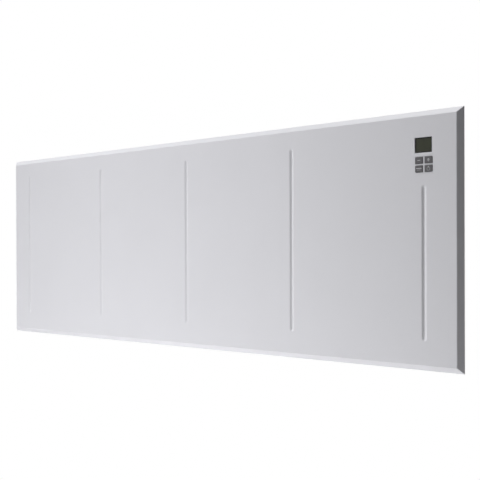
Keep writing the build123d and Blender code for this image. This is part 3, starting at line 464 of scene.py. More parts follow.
# by record slot: base colour, or None where the sidebar gives it, roughness and what is special
FINISHES = {
    "panel_enamel": (None, 0.42, dict(COAT, shine=0.3)),
    "casing_enamel": (None, 0.5, COAT),
    "grille_enamel": (None, 0.5, COAT),
    "aluminised_steel": ((0.66, 0.67, 0.68), 0.36, dict(METAL, blotch=70, shade=0.86, uneven=0.08,
                                                        grain=900, height=0.01)),
    "zinc_steel": ((0.62, 0.64, 0.66), 0.34, dict(METAL, spangle=140, shade=0.82, uneven=0.09,
                                                  grain=700, height=0.008)),
    "bracket_zinc": ((0.60, 0.62, 0.64), 0.38, dict(METAL, spangle=110, shade=0.80, uneven=0.10,
                                                    grain=500, height=0.012)),
    "rivet_steel": ((0.56, 0.56, 0.57), 0.32, dict(METAL, blotch=900, shade=0.85, grain=2500,
                                                   height=0.006)),
    "element_aluminium": ((0.70, 0.70, 0.71), 0.40, dict(METAL, shade=0.84, stretch=(0.02, 1, 1),
                                                         blotch=500, grain=2500, height=0.01)),
    "rod_steel": ((0.33, 0.30, 0.27), 0.45, dict(metallic=0.9, blotch=120, shade=0.7, uneven=0.10)),
    "ceramic": ((0.80, 0.77, 0.70), 0.55, dict(blotch=200, grain=1600)),
    "rubber_black": ((0.018, 0.018, 0.019), 0.72, dict(blotch=150, shade=0.7, grain=1400, height=0.04)),
    "moulded_black": ((0.025, 0.025, 0.027), 0.5, dict(shade=0.85)),
    "moulded_grey": ((0.30, 0.30, 0.31), 0.5, {}),
    "moulded_blue": ((0.05, 0.13, 0.38), 0.45, {}),
    "nylon_white": ((0.72, 0.71, 0.67), 0.45, dict(grain=1300)),
    "circuit_board": ((0.015, 0.11, 0.035), 0.4, dict(blotch=90, shade=0.65, grain=900, height=0.03)),
    "window_smoke": (None, 0.22, dict(blotch=60, grain=900, height=0.001, shine=0.14)),
    "display_glass": (None, 0.16, dict(blotch=45, shade=0.8, uneven=0.03, grain=700, height=0,
                                       shine=0.12)),
    "display_panel": ((0.30, 0.33, 0.27), 0.3, dict(grain=900)),
    "key_grey": (None, 0.5, dict(blotch=400, grain=2600, height=0.012, shine=0.4)),
    "sign_ink": (None, 0.5, dict(blotch=500, grain=2600)),
    "core_steel": ((0.25, 0.25, 0.26), 0.5, dict(metallic=0.8, stretch=(0.05, 1, 0.05), blotch=900,
                                                 shade=0.6, grain=1800)),
    "coil_tape": ((0.62, 0.42, 0.06), 0.4, dict(blotch=120, grain=1200)),
    "capacitor_sleeve": ((0.03, 0.035, 0.07), 0.3, dict(grain=1200)),
    "cable_grey": ((0.35, 0.35, 0.36), 0.5, {}),
    "lead_brown": ((0.16, 0.06, 0.03), 0.45, {}),
    "lead_blue": ((0.03, 0.10, 0.42), 0.45, {}),
    "lead_green": ((0.10, 0.34, 0.05), 0.45, {}),
    "sensor_epoxy": ((0.02, 0.02, 0.022), 0.25, dict(grain=1200)),
    "brass_nut": ((0.72, 0.52, 0.22), 0.3, dict(METAL, blotch=700, grain=2400)),
}


class Finish:
    """One procedural finish, built node by node around its shader."""

    def __init__(self, name, base, roughness, metallic=0, shine=0.5):
        self.material = bpy.data.materials.new(name)
        self.material.use_nodes = True
        self.tree = self.material.node_tree
        self.shader = self.tree.nodes["Principled BSDF"]
        for socket, value in (("Base Color", (*base, 1)), ("Roughness", roughness),
                              ("Metallic", metallic), ("Specular IOR Level", shine)):
            self.shader.inputs[socket].default_value = value
        self.base = base
        self.place = self.node("TexCoord", "Object")

    def node(self, kind, output, drives=None, **inputs):
        """An output of a new node, some of its inputs set or linked; it may drive the shader."""
        made = self.tree.nodes.new("ShaderNode" + kind)
        for name, value in inputs.items():
            socket = made.inputs[name.replace("_", " ")]
            if isinstance(value, bpy.types.NodeSocket):
                self.tree.links.new(value, socket)
            else:
                socket.default_value = value
        if drives:
            self.tree.links.new(made.outputs[output], self.shader.inputs[drives])
        return made.outputs[output]

    def noise(self, scale, detail=3, stretch=None):
        """Noise with this many blotches a metre, stretched along the axes if asked."""
        place = self.node("Mapping", "Vector", Vector=self.place, Scale=stretch) if stretch else self.place
        return self.node("TexNoise", "Fac", Vector=place, Scale=scale, Detail=detail)

    def tint(self, value, darkest):
        """Shades the base colour by a value, from this factor up to 1."""
        ramp = self.node("ValToRGB", "Color", "Base Color", Fac=value).node.color_ramp
        for element, position, factor in zip(ramp.elements, (0.3, 0.7), (darkest, 1)):
            element.position, element.color = position, (*(part * factor for part in self.base), 1)


def finish(name, base, roughness, metallic=0, shine=0.5, blotch=30, detail=3, shade=0.94, uneven=0.05,
           grain=1500, height=0.02, stretch=None, spangle=0):
    """A finish with blotchy shade and gloss, and a fine grain; some metals show spangle instead."""
    made = Finish(name, base, roughness, metallic, shine)
    if spangle:
        cells = made.node("TexVoronoi", "Color", Vector=made.place, Scale=spangle)
        broad = made.node("SeparateColor", "Red", Color=cells)
    else:
        broad = made.noise(blotch, detail, stretch)
    made.tint(broad, shade)
    made.node("MapRange", "Result", "Roughness", Value=broad, From_Min=0.3, From_Max=0.7,
              To_Min=max(roughness - uneven, 0.02), To_Max=roughness + uneven)
    made.node("Bump", "Normal", "Normal", Height=made.noise(grain, 2, stretch), Distance=height * MM)
    return made.material


def finish_of(slot):
    """The finish of a record slot, made when it is first asked for."""
    name = slot.replace("_", " ") + " finish"
    base, roughness, special = FINISHES[slot]
    base = base or getattr(bpy.context.scene.heater_colours, slot)
    return bpy.data.materials.get(name) or finish(name, base, roughness, **special)


# ---- front panel, display and keys ----


def key_spots(keypad):
    """Each key's name, its middle in millimetres, and the test of what lies at its outer corner."""
    for name, column, row in KEYS:
        x = keypad.middle_x + column * (keypad.key_width + keypad.key_gap) / 2
        z = keypad.keys_z + row * (keypad.key_height + keypad.key_gap) / 2
        yield name, x, z, outer_corner(x, z, column, row)


def outer_corner(x, z, column, row):
    """A test of whether a place lies beyond a key's middle, away from the other keys both ways."""
    return lambda at: (at.x / MM - x) * column > 0 and (at.z / MM - z) * row > 0


def apart_from(outer):
    """A test of what doesn't lie at the outer corner."""
    return lambda at: not outer(at)


def press_border(sizes, half_x, half_z, back, rim, face):
    """The sheet with its border and lip, left open for the grooves."""
    bevel, lip_lap = sizes.bevel_width, 15.0
    # the outside: a slab whose face is drawn out and narrowed into the sloping border
    panel = block("front_panel_sheet", (-half_x, half_x), (back, rim), (-half_z, half_z))
    pick_facing(y=-1)
    push(depth=face - rim)
    grow(1 - bevel / half_x, 1, 1 - bevel / half_z)
    # the hollow: the opening inside the lip, then widened and narrowed behind the sheet
    casing = box_of("rear_casing")[1]
    lip_x, lip_z = casing.x - lip_lap, casing.z - lip_lap
    slope, hollow = (face - rim) / bevel, face - rim - sizes.sheet
    wide_x, wide_z = (half - sizes.sheet * (1 + slope**2) ** 0.5 / slope for half in (half_x, half_z))
    pick_facing(y=1)
    push()
    grow(lip_x / half_x, 1, lip_z / half_z)
    push(depth=sizes.sheet)
    push()
    grow(wide_x / lip_x, 1, wide_z / lip_z)
    push(depth=hollow)
    grow(1 - hollow / slope / wide_x, 1, 1 - hollow / slope / wide_z)

    def mitre(edge):
        drop = abs(edge.verts[0].co.y - edge.verts[1].co.y)
        return drop > (face - rim - 0.1) * MM and both(
            edge, lambda at: abs(at.x) > (half_x - bevel - 1) * MM and abs(at.z) > (half_z - bevel - 1) * MM)

    # folds: face to border with the mitres, then the rim
    pick("EDGE", lambda edge: both(edge, lambda at: near(at.y, -face)) or mitre(edge))
    round_off(sizes.fold_radius, 4)
    pick_edges(lambda at: near(abs(at.x), half_x) or near(abs(at.z), half_z))
    round_off(sizes.rim_radius, 2)
    return panel


def press_grooves(sizes, rim):
    """Cuts the open sheet into narrow strips where the grooves lie, and presses them in."""
    width, runout, bottom = sizes.groove_width, sizes.groove_runout, sizes.groove_bottom
    last = sizes.groove_count - 1
    spots = [((index - last / 2) * sizes.groove_pitch,
              sizes.short_groove_top if index == last else sizes.groove_top)
             for index in range(sizes.groove_count)]
    slice_strips(0, [x for x, _ in spots], width, 0.18, 0.36, 0.54, 0.72, 0.88, 1.0)
    for share in (-0.5, -0.25, 0, 0.15, 0.3, 0.5, 0.75, 1.0, 1.3):
        step = share * runout
        slice_at(2, bottom + step, sizes.groove_top - step, sizes.short_groove_top - step)
    for x, top in spots:
        for short in (runout / 2 - 0.1, runout - 0.1):
            dent(lambda vert: near(vert.co.x, x) and vert.co.y < -(rim + 1) * MM
                 and between(vert.co.z, bottom + short, top - short),
                 -sizes.groove_depth / 2, width / 2)


def panel_openings(keypad, rim, face):
    """The cutters for the display and the keys."""
    display_corner, inner_corner = 0.5, 0.3
    width, height = keypad.key_width + 2 * keypad.clearance, keypad.key_height + 2 * keypad.clearance
    places = [(keypad.display_x, keypad.display_z, keypad.display_width, keypad.display_height,
               (display_corner, lambda at: True))]
    for _, x, z, outer in key_spots(keypad):
        places.append((x, z, width, height, (keypad.key_corner, outer),
                       (inner_corner, apart_from(outer))))
    return [opening_cutter(rim, face, keypad.mouth, *place) for place in places]


def opening_cutter(rim, face, mouth, x, z, width, height, *corners):
    """A cutter for one punched opening: round corners, and a mouth flared toward the room."""
    flare = 4 * mouth
    block("opening", span(x, width), (rim, face + mouth), span(z, height))
    for radius, test in corners:
        pick_edges(test, 1)
        round_off(radius, 5)
    slice_at(1, mouth - face)
    pick_facing(y=-1)
    grow(1 + flare / width, 1, 1 + flare / height, centre=(x, 0, z))
    return closed()


class HEATER_OT_front_panel(PieceOperator, bpy.types.Operator):
    """Presses the front panel: sloping border with mitred corners, return lip, grooves and openings"""

    bl_idname = "heater.front_panel"
    bl_label = "Front panel"

    def execute(self, context):
        sizes = sizes_of("heater_panel")
        low, high = box_of("front_panel")
        back, face = -high.y, -low.y
        rim = back + sizes.sheet
        panel = press_border(sizes, high.x, high.z, back, rim, face)
        press_grooves(sizes, rim)
        closed()
        cut(panel, *panel_openings(sizes_of("heater_keypad"), rim, face))
        dress(panel, "heater", "panel_enamel", "front_panel")
        return {"FINISHED"}


class HEATER_OT_display(PieceOperator, bpy.types.Operator):
    """Makes the display's window: a dark border round a sunk glass"""

    bl_idname = "heater.display"
    bl_label = "Display"

    def execute(self, context):
        sizes = sizes_of("heater_keypad")
        low, high = box_of("display_window")
        gap, flange, corner, brim, raised, ledge, sunk = 0.15, 2.0, 0.4, 0.25, 0.12, 0.2, 0.25
        front, seat = -low.y, flange - high.y
        window = block("display_glass", (low.x, high.x), (-high.y, seat), (low.z, high.z))
        pick_facing(y=-1)
        push()
        grow((sizes.display_width - 2 * gap) / (high.x - low.x), 1,
             (sizes.display_height - 2 * gap) / (high.z - low.z),
             centre=(sizes.display_x, 0, sizes.display_z))
        push(depth=front - seat)
        inset(brim)
        shift(depth=raised)
        inset(sizes.display_frame)
        inset(ledge)
        shift(depth=-sunk)
        paint_faces(lambda face: looks(face, y=-1) and near(middle(face).y, sunk - raised - front), 1)
        pick_edges(lambda at: between(at.y, -front - 0.01, -seat + 0.01), 1)
        round_off(corner)
        closed()
        dress(window, "heater", "window_smoke", "display_window",
              finishes=("window_smoke", "display_glass"))
        return {"FINISHED"}


def key_cap(sizes, name, x, z, front, stem_end, outer):
    """One key: a foot behind the panel, the cap through its opening and a stem to the switch."""
    reach, foot, foot_gap, half_stem, brim, inner_corner, soft = 0.9, 1.0, 0.3, 1.8, 0.22, 0.35, 0.2
    width, height = sizes.key_width + 2 * reach, sizes.key_height + 2 * reach
    skirt = -box_of("front_panel")[0].y - sizes_of("heater_panel").sheet - foot_gap
    key = block(name + "_cap", span(x, width), (skirt - foot, skirt), span(z, height))
    pick_facing(y=-1)
    inset(reach)
    push(depth=front - skirt)
    for radius, segments, outside in ((sizes.key_corner - sizes.clearance, 5, True),
                                      (inner_corner, 3, False)):
        pick_edges(lambda at: outer(at) == outside and at.y < -(skirt - 0.01) * MM, 1)
        round_off(radius, segments)
    # the softened brim, then the stem
    pick("FACE", lambda face: looks(face, y=-1) and near(middle(face).y, -front))
    inset(brim)
    pick("EDGE", lambda edge: both(edge, lambda at: near(at.y, -front))
         and any(looks_aside(face, 1) for face in edge.link_faces))
    round_off(soft)
    pick_facing(y=1)
    inset(height / 2 - half_stem)
    push(depth=stem_end - (skirt - foot))
    closed()
    return key


def key_sign(name, x, z, front):
    """The generic sign of one key: less, more, choice or power."""
    sunk, raised, ring_drop, roundness = 0.1, 0.05, 0.4, 0.45
    depth = (front - sunk, front + raised)
    parts = [power_ring(x, z - ring_drop, depth)] if name == "key_power" else []
    for bar_x, bar_z, width, height in SIGN_BARS[name]:
        block("sign bar", span(x + bar_x, width), depth, span(z + bar_z, height))
        round_along(1, min(width, height) * roundness)
        parts.append(closed())
    sign = joined(*parts)
    sign.name = sign.data.name = name.replace("key", "sign")
    return sign


def power_ring(x, z, depth):
    """A raised ring, open at its top for the stroke of the power sign."""
    radius, stroke, opening = 2.7, 0.45, 2.2
    rod("sign ring", radius, (x, -depth[0], z), (x, -depth[1], z))
    pick("FACE", lambda face: not looks_aside(face, 1))
    inset(stroke)
    pick("FACE", lambda face: not looks_aside(face, 1)
         and (middle(face).xz / MM - Vector((x, z))).length < 0.01)
    bpy.ops.mesh.bridge_edge_loops()
    ring = closed()
    block("sign gap", span(x, opening), (depth[0] - 1, depth[1] + 1), (z, z + 2 * radius))
    return cut(ring, closed())


class HEATER_OT_keys(PieceOperator, bpy.types.Operator):
    """Moulds the four keys with their round outer corners, and prints a generic sign on each"""

    bl_idname = "heater.keys"
    bl_label = "Keys"

    def execute(self, context):
        sizes = sizes_of("heater_keypad")
        for name, x, z, outer in key_spots(sizes):
            low, high = box_of(name)
            dress(key_cap(sizes, name, x, z, -low.y, -high.y, outer), name + "_cap", "key_grey", name)
            dress(key_sign(name, x, z, -low.y), name + "_cap", "key_grey", finishes=("sign_ink",))
        return {"FINISHED"}


# ---- casing and what is set in it ----


def round_fold(half_x, half_z, depth, radius):
    """Rounds the fold all round the tray at one depth."""

    def on_tray(at):
        return near(at.y, -depth) and abs(at.x) < (half_x + 0.1) * MM and abs(at.z) < (half_z + 0.1) * MM

    pick("EDGE", lambda edge: both(edge, on_tray)
         and len({looks_aside(face, 1) for face in edge.link_faces}) == 2)
    round_off(radius)


def press_ribs(sizes, floor):
    """Presses the two stiffening ribs in from behind."""
    heights, left, right = (sizes.rib_height, -sizes.rib_height), sizes.rib_left, sizes.rib_right
    slice_strips(2, heights, sizes.rib_width, 0.2, 0.4, 0.6, 0.8, 1.0)
    for step in (-4, -2, 0, 2, 4, 7, 10):
        slice_at(0, left + step, right - step)
    for z in heights:
        for share, short in ((0.35, -0.1), (0.65, 3.9)):
            dent(lambda vert: near(vert.co.z, z) and vert.co.y > -(floor + 1.5) * MM
                 and between(vert.co.x, left + short, right - short),
                 sizes.rib_depth * share, sizes.rib_width / 2)


def casing_openings(half_z, back):
    """The cutters: outlet, inlet slots, gland hole and hook slots."""
    inlets, inlet_length, inlet_width, inlet_end, inlet_row = 18, 42.0, 6.0, 2.9, 7.0
    outlet_corner, gland_hole, hook_corner = 0.5, 8.15, 1.0
    low, high = box_of("outlet_grille")
    left, right, depth = low.x + GRILLE_RIM, high.x - GRILLE_RIM, -(low.y + high.y) / 2
    cutters = [slot_cutter(half_z, (left, right), (GRILLE_RIM - high.y, -low.y - GRILLE_RIM),
                           outlet_corner)]
    pitch = (right - left) / inlets
    for row in (depth - inlet_row, depth + inlet_row):
        slot = slot_cutter(-half_z, span(left + pitch / 2, inlet_length), span(row, inlet_width),
                           inlet_end)
        cutters.append(copies(slot, *((pitch * step, 0, 0) for step in range(1, inlets))))
    x, y = middle_of("cable_gland")
    start, end = span(-half_z, CUTTER_LENGTH)
    rod("gland hole", gland_hole, (x, y, start), (x, y, end))
    cutters.append(closed())
    hook_x, hook_width, hook_height = UPRIGHT_OUTSIDE - BRACKET_SHEET / 2, 5.0, 20.0
    for x in (-hook_x, hook_x):
        for top in (-100, 100):
            block("hook slot", span(x, hook_width), span(back, CUTTER_LENGTH), (top - hook_height, top))
            round_along(1, hook_corner)
            cutters.append(closed())
    return cutters


def slot_cutter(z, x, depth, corner):
    """A cutter through the roof or the floor, its corners rounded."""
    block("slot", x, depth, span(z, CUTTER_LENGTH))
    round_along(2, corner, 4)
    return closed()


class HEATER_OT_rear_casing(PieceOperator, bpy.types.Operator):
    """Folds the rear casing: tray, flange, pressed ribs, outlet, inlet slots and hook slots"""

    bl_idname = "heater.rear_casing"
    bl_label = "Rear casing"

    def execute(self, context):
        sizes = sizes_of("heater_casing")
        low, high = box_of("rear_casing")
        half_x, half_z = high.x - sizes.flange, high.z - sizes.flange
        back, front = -high.y, -low.y
        floor, flange_back = back + sizes.sheet, front - sizes.sheet
        casing = block("rear_casing_tray", (-half_x, half_x), (back, front), (-half_z, half_z))
        round_along(1, sizes.corner, 6)
        pick_facing(y=-1)
        inset(sizes.sheet)
        push(depth=floor - front)
        slice_at(1, -flange_back)
        pick("FACE", lambda face: middle(face).y < -flange_back * MM and looks_aside(face, 1)
             and face.normal.dot(middle(face)) > 0)
        push()
        grow(high.x / half_x, 1, high.z / half_z)
        # folds: round the back, inside it, and under the flange
        for depth, radius in ((back, 2.2), (floor, 1.2), (flange_back, 1.0)):
            round_fold(half_x, half_z, depth, radius)
        press_ribs(sizes, floor)
        closed()
        cut(casing, *casing_openings(half_z, back))
        dress(casing, "heater", "casing_enamel", "rear_casing")
        return {"FINISHED"}


def middle_of(node):
    """Place in x and y of the middle of a CAD node, in millimetres."""
    low, high = box_of(node)
    return (low.x + high.x) / 2, (low.y + high.y) / 2


def louvres(ends, seat, middle_y, clear):
    """Slanted blades from end to end, spread over the clear depth of the throat."""
    count, height, thickness, edge, slant = 4, 8.0, 1.0, 0.42, 30
    pitch = clear / count
    y, z = middle_y + (count - 1) / 2 * pitch, seat - height / 2
    blade = block("louvre", ends, span(-y, thickness), span(z, height))
    round_along(0, edge)
    bpy.ops.mesh.select_all(action="SELECT")
    bpy.ops.transform.rotate(value=radians(slant), orient_axis="X",
                             center_override=Vector((0, y, z)) * MM)
    closed()
    return copies(blade, *((0, pitch * step, 0) for step in range(1, count)))


def bars(ends, depth, z):
    """Cross bars between the bays."""
    bays, thickness, edge = 10, 1.5, 0.5
    bay = (ends[1] - ends[0]) / bays
    bar = block("cross bar", span(ends[0] + bay, thickness), depth, z)
    round_along(1, edge)
    closed()
    return copies(bar, *((bay * step, 0, 0) for step in range(1, bays - 1)))


class HEATER_OT_outlet_grille(PieceOperator, bpy.types.Operator):
    """Moulds the outlet grille: rim, neck, slanted louvres and cross bars"""

    bl_idname = "heater.outlet_grille"
    bl_label = "Outlet grille"

    def execute(self, context):
        low, high = box_of("outlet_grille")
        rim_height, rim_edge, fit, wall = 1.2, 0.5, 0.3, 1.5
        seat, neck = high.z - rim_height, GRILLE_RIM + fit
        throat = neck + wall
        grille = block("outlet_grille_frame", (low.x, high.x), (-high.y, -low.y), (seat, high.z))
        round_along(2, GRILLE_RIM, 5)
        pick_facing(z=1)
        inset(throat)
        pick_facing(z=-1)
        inset(neck)
        inset(wall)
        # the strip between the two outlines is drawn down into the neck, and the throat opened
        clear = high.y - low.y - 2 * throat
        opening = (high.x - low.x - 2 * throat) * clear * MM**2
        pick("FACE", lambda face: looks(face, z=-1) and face.calc_area() < opening / 2
             and between(middle(face).x, low.x + neck, high.x - neck)
             and between(middle(face).y, low.y + neck, high.y - neck))
        push(z=low.z - seat)
        pick("FACE", lambda face: not looks_aside(face, 2) and face.calc_area() > 0.9 * opening)
        bpy.ops.mesh.bridge_edge_loops()
        pick_ring(2, high.z)
        round_off(rim_edge)
        closed()
        # louvres and bars end a little inside the neck's walls
        ends = (low.x + throat - 0.2, high.x - throat + 0.2)
        bar_depth = (throat - high.y - 0.1, 0.1 - low.y - throat)
        dress(joined(grille, louvres(ends, seat, (low.y + high.y) / 2, clear),
                     bars(ends, bar_depth, (low.z, seat))),
              "heater", "grille_enamel", "outlet_grille")
        return {"FINISHED"}


class HEATER_OT_casing_screws(PieceOperator, bpy.types.Operator):
    """Makes one hexagon-headed sheet screw with a collar, and sets it all round the flange"""

    bl_idname = "heater.casing_screws"
    bl_label = "Casing screws"

    def execute(self, context):
        low, high = box_of("casing_screws")
        seat = -box_of("rear_casing")[0].y - sizes_of("heater_casing").sheet
        head, chamfer, dish, collar, collar_height = 3.6, 0.35, 0.7, 3.9, 0.7
        step, shank, point = 1.5, 5.0, 1.0
        x, side_z = low.x + head, 100.0
        screw = rod("sheet_screws", head, (x, -seat, side_z), (x, high.y, side_z), 6)
        slice_at(1, 0.5 - seat)
        # the dished top of the head, then the shank and its point
        pick_facing(y=1)
        inset(chamfer)
        inset(dish)
        push(depth=0.5)
        pick_facing(y=-1)
        inset(step)
        for reach, share in ((shank, 0.8), (point, 0.3)):
            push(depth=reach)
            grow(share, 1, share, centre=(x, 0, side_z))
        closed()
        rod("collar", collar, (x, -seat, side_z), (x, collar_height - seat, side_z), 20)
        pick_ring(1, collar_height - seat)
        round_off(0.3, 2)
        joined(screw, closed())
        soften(screw, 0.15, 1, 50)
        # two on each side, and five along the top and the bottom
        row_z, pitch = 183.0, 263.0
        copies(screw, (0, 0, -2 * side_z), (-2 * x, 0, 0), (-2 * x, 0, -2 * side_z),
               *((pitch * place - x, 0, z - side_z) for place in range(-2, 3) for z in (-row_z, row_z)))
        dress(screw, "heater", "zinc_steel", "casing_screws")
        return {"FINISHED"}


class HEATER_OT_wall_buffers(PieceOperator, bpy.types.Operator):
    """Moulds the two rubber buffers with their waist and pushed-in stems"""

    bl_idname = "heater.wall_buffers"
    bl_label = "Wall buffers"

    def execute(self, context):
        low, high = box_of("wall_buffers")
        radius, foot, height = 8.0, 5.2, -box_of("rear_casing")[1].y
        waist, half_waist, slimmed, edge = 15.0, 2.5, 0.88, 1.2
        foot_rim, hollow, shoulder, stem = 1.4, 1.0, 5.0, 4.0
        x, z = low.x + radius, (low.z + high.z) / 2
        buffer = rod("rubber_buffers", radius, (x, -height, z), (x, 0, z), end_radius=foot)
        slice_at(1, -waist - half_waist, -waist, -waist + half_waist)
        pick_ring(1, -waist)
        grow(slimmed, 1, slimmed, centre=(x, 0, z))
        pick_ring(1, 0)
        round_off(edge, 4)
        # the hollow in the foot, then the stem through the casing
        pick_facing(y=1)
        inset(foot_rim)
        push(depth=hollow)
        pick_facing(y=-1)
        inset(shoulder)
        push(depth=stem)
        closed()
        dress(copies(buffer, (-2 * x, 0, 0)), "heater", "rubber_black", "wall_buffers")
        return {"FINISHED"}


def gland_cap(x, y, top, end):
    """The clamping cap, with every third of its sides sunk to leave ribs."""
    radius, sides, rib_top, rib_end, rib_height = 8.9, 36, -182.5, -188.0, 0.6
    cone, narrowed, mouth_rim, mouth = 2.4, 0.72, 1.0, 1.6
    rod("cap", radius, (x, y, top), (x, y, end), sides)
    slice_at(2, rib_top, rib_end)

    def outward(part):
        return part.xy / MM - Vector((x, y))

    def side_number(face):
        turn = outward(middle(face)).angle_signed(Vector((1, 0)), 0) / (2 * pi)
        return round(turn * sides + 0.25) % sides

    pick("FACE", lambda face: looks_aside(face, 2) and between(middle(face).z, rib_end, rib_top)
         and side_number(face) % 3 == 0)
    bpy.ops.mesh.extrude_region_shrink_fatten(TRANSFORM_OT_shrink_fatten={"value": -rib_height * MM})
    # the conical end, and the mouth over the seal
    pick_facing(z=-1)
    push()
    grow(narrowed, narrowed, 1, centre=(x, y, 0))
    pick("VERT", lambda vert: near(vert.co.z, end) and outward(vert.co).length > radius - 0.9)
    shift(z=cone)
    pick("FACE", lambda face: looks(face, z=-1) and near(middle(face).z, end))
    inset(mouth_rim)
    push(z=mouth)
    return closed()


def gland_seal(x, y, top, end):
    """The rubber seal that grips the cable."""
    radius, wall, bore, edge = 5.2, 1.45, 6.0, 0.4
    rod("seal", radius, (x, y, top), (x, y, end))
    pick_facing(z=-1)
    inset(wall)
    push(z=bore)
    pick_ring(2, end)
    round_off(edge)
    paint_faces(lambda face: True, 1)
    seal = closed()
    seal.data.materials[1] = finish_of("rubber_black")
    return seal


def gland_neck(x, y, start, top):
    """The neck with its thread, through the casing and its nut."""
    root, crest, turns, wall, bore = 7.6, 8.0, range(-174, int(top)), 3.85, 12
    rod("neck", root, (x, y, start), (x, y, top))
    slice_at(2, *turns)
    for z in turns[::2]:
        pick_ring(2, z)
        grow(crest / root, crest / root, 1, centre=(x, y, 0))
    pick_facing(z=1)
    inset(wall)
    push(z=-bore)
    return closed()


class HEATER_OT_cable_gland(PieceOperator, bpy.types.Operator):
    """Moulds the cable gland: hexagon, ribbed cap, rubber seal and threaded neck"""

    bl_idname = "heater.cable_gland"
    bl_label = "Cable gland"

    def execute(self, context):
        x, y = middle_of("cable_gland")
        top, bottom, end, radius, chamfer, lap, seal_sunk = -176.0, -181.0, -191.0, 11.0, 0.8, 0.2, 0.8
        hexagon = rod("cable_gland_body", radius, (x, y, top), (x, y, bottom), 6)
        slice_at(2, top - chamfer, bottom + chamfer)
        pick("FACE", lambda face: not looks_aside(face, 2))
        inset(chamfer)
        closed()
        soften(hexagon, 0.5, 2, 50)
        joined(hexagon, gland_cap(x, y, bottom + lap, end), gland_seal(x, y, bottom, end + seal_sunk),
               gland_neck(x, y, top - lap, box_of("cable_gland")[1].z))
        dress(hexagon, "heater", "moulded_black", "cable_gland")
        return {"FINISHED"}


# ---- wall bracket ----


def upright(side, middle_x, node):
    """Web against the wall, flange toward the room and two hooks turned up."""
    end, corner, flange, flange_end, neck, tongue, hook = 160.0, 3.0, 17.0, 157.0, 3.5, 4.0, 8.0
    outer, fold = side * UPRIGHT_OUTSIDE, side * (UPRIGHT_OUTSIDE - BRACKET_SHEET)
    free_edge = side * (UPRIGHT_OUTSIDE - UPRIGHT_WIDTH)
    hooks = [(top - hook, top) for top in (-100, 100)]
    sheet = block(node + "_fold", sorted((free_edge, outer)), (0, BRACKET_SHEET), (-end, end))
    pick_edges(lambda at: near(at.x, free_edge), 1)
    round_off(corner, 4)
    slice_at(0, fold)
    slice_at(2, -flange_end, flange_end, *hooks[0], *hooks[1])
    depth = BRACKET_SHEET
    for reach, spans in ((flange, [(-flange_end, flange_end)]), (neck, hooks), (tongue, hooks)):
        pick("FACE", lambda face: looks(face, y=-1) and near(middle(face).y, -depth)
             and abs(middle(face).x) > abs(fold) * MM
             and any(between(middle(face).z, *ends) for ends in spans))
        push(depth=reach)
        depth += reach
    pick("FACE", lambda face: looks(face, z=1) and between(middle(face).y, -depth, tongue - depth))
    push(z=hook)
    # rounded noses on the tongues, then the outside and the inside of the fold
    tips = [top + hook for _, top in hooks]
    for axis, radius, segments, test in (
        (0, 1.2, 3, lambda at: near(at.y, -depth) or near(at.z, *tips)),
        (2, 1.4, 4, lambda at: near(at.x, outer) and near(at.y, 0)),
        (2, 0.8, 3, lambda at: near(at.x, fold) and near(at.y, -BRACKET_SHEET)
         and abs(at.z) < (flange_end + 0.5) * MM),
    ):
        pick_edges(test, axis)
        round_off(radius, segments)
    closed()
    hole, hole_z, hole_x = 3.0, 130.0, side * middle_x
    rod("fixing hole", hole, (hole_x, 2, -hole_z), (hole_x, -4, -hole_z), 28)
    cut(sheet, copies(closed(), (0, 0, 2 * hole_z)))
    return soften(sheet, 0.2)


def rail(z, node):
    """A flat rail with a bead pressed along its middle."""
    width, corner, bead, bead_height, bead_end = 25.0, 1.5, 12.0, 1.3, 252.0
    half = box_of(node)[1].x
    strip = block(node + "_bead", (-half, half), (BRACKET_SHEET, 2 * BRACKET_SHEET), span(z, width))
    round_along(1, corner)
    slice_strips(2, (z,), bead, 0.25, 0.5, 0.75, 1.0)
    for step in (-8, -5, -2.5, 0, 3, 6):
        slice_at(0, -bead_end - step, bead_end + step)
    dent(lambda vert: near(vert.co.z, z) and abs(vert.co.x) < (bead_end - 2) * MM,
         bead_height, bead / 2)
    closed()
    return soften(strip, 0.2)


def rivets(upright_x, rail_z):
    """Dome-headed rivets, two where each rail crosses an upright."""
    seat, head, pair = 2 * BRACKET_SHEET - 0.02, 2 * BRACKET_SHEET + 1.2, 20
    radius, dome, shoulder = 4.0, 1.1, 2.0
    x, z = -upright_x - pair / 2, -rail_z
    heads = rod("dome_rivets", radius, (x, -seat, z), (x, -head, z), 24)
    pick_ring(1, -head)
    round_off(dome, 4)
    pick_facing(y=1)
    inset(shoulder)
    push(depth=-seat)
    closed()
    across = (0, pair, 2 * upright_x, 2 * upright_x + pair)
    return copies(heads, *((step, 0, up) for step in across for up in (0, 2 * rail_z) if step or up))


class HEATER_OT_wall_bracket(PieceOperator, bpy.types.Operator):
    """Folds the two hooked uprights, presses the rails and sets the rivets"""

    bl_idname = "heater.wall_bracket"
    bl_label = "Wall bracket"

    def execute(self, context):
        upright_x, rail_z = UPRIGHT_OUTSIDE - UPRIGHT_WIDTH / 2, 70.0
        for side, node in ((-1, "bracket_upright_left"), (1, "bracket_upright_right")):
            dress(upright(side, upright_x, node), "wall_bracket", "bracket_zinc", node)
        for z, node in ((-rail_z, "bracket_rail_lower"), (rail_z, "bracket_rail_upper")):
            dress(rail(z, node), "wall_bracket", "bracket_zinc", node)
        dress(rivets(upright_x, rail_z), "wall_bracket", "rivet_steel", "bracket_rivets")
        return {"FINISHED"}


# ---- inner pieces, stage and sidebar ----


class HEATER_OT_inner_finishes(PieceOperator, bpy.types.Operator):
    """Gives every CAD node that stays its finish"""

    bl_idname = "heater.inner_finishes"
    bl_label = "Inner finishes"

    def execute(self, context):
        for part in frame["record"]["subparts"]:
            piece = frame["nodes"][part["node"]]
            piece.data.materials.clear()
            piece.data.materials.append(finish_of(part["material_slot"]))
        return {"FINISHED"}


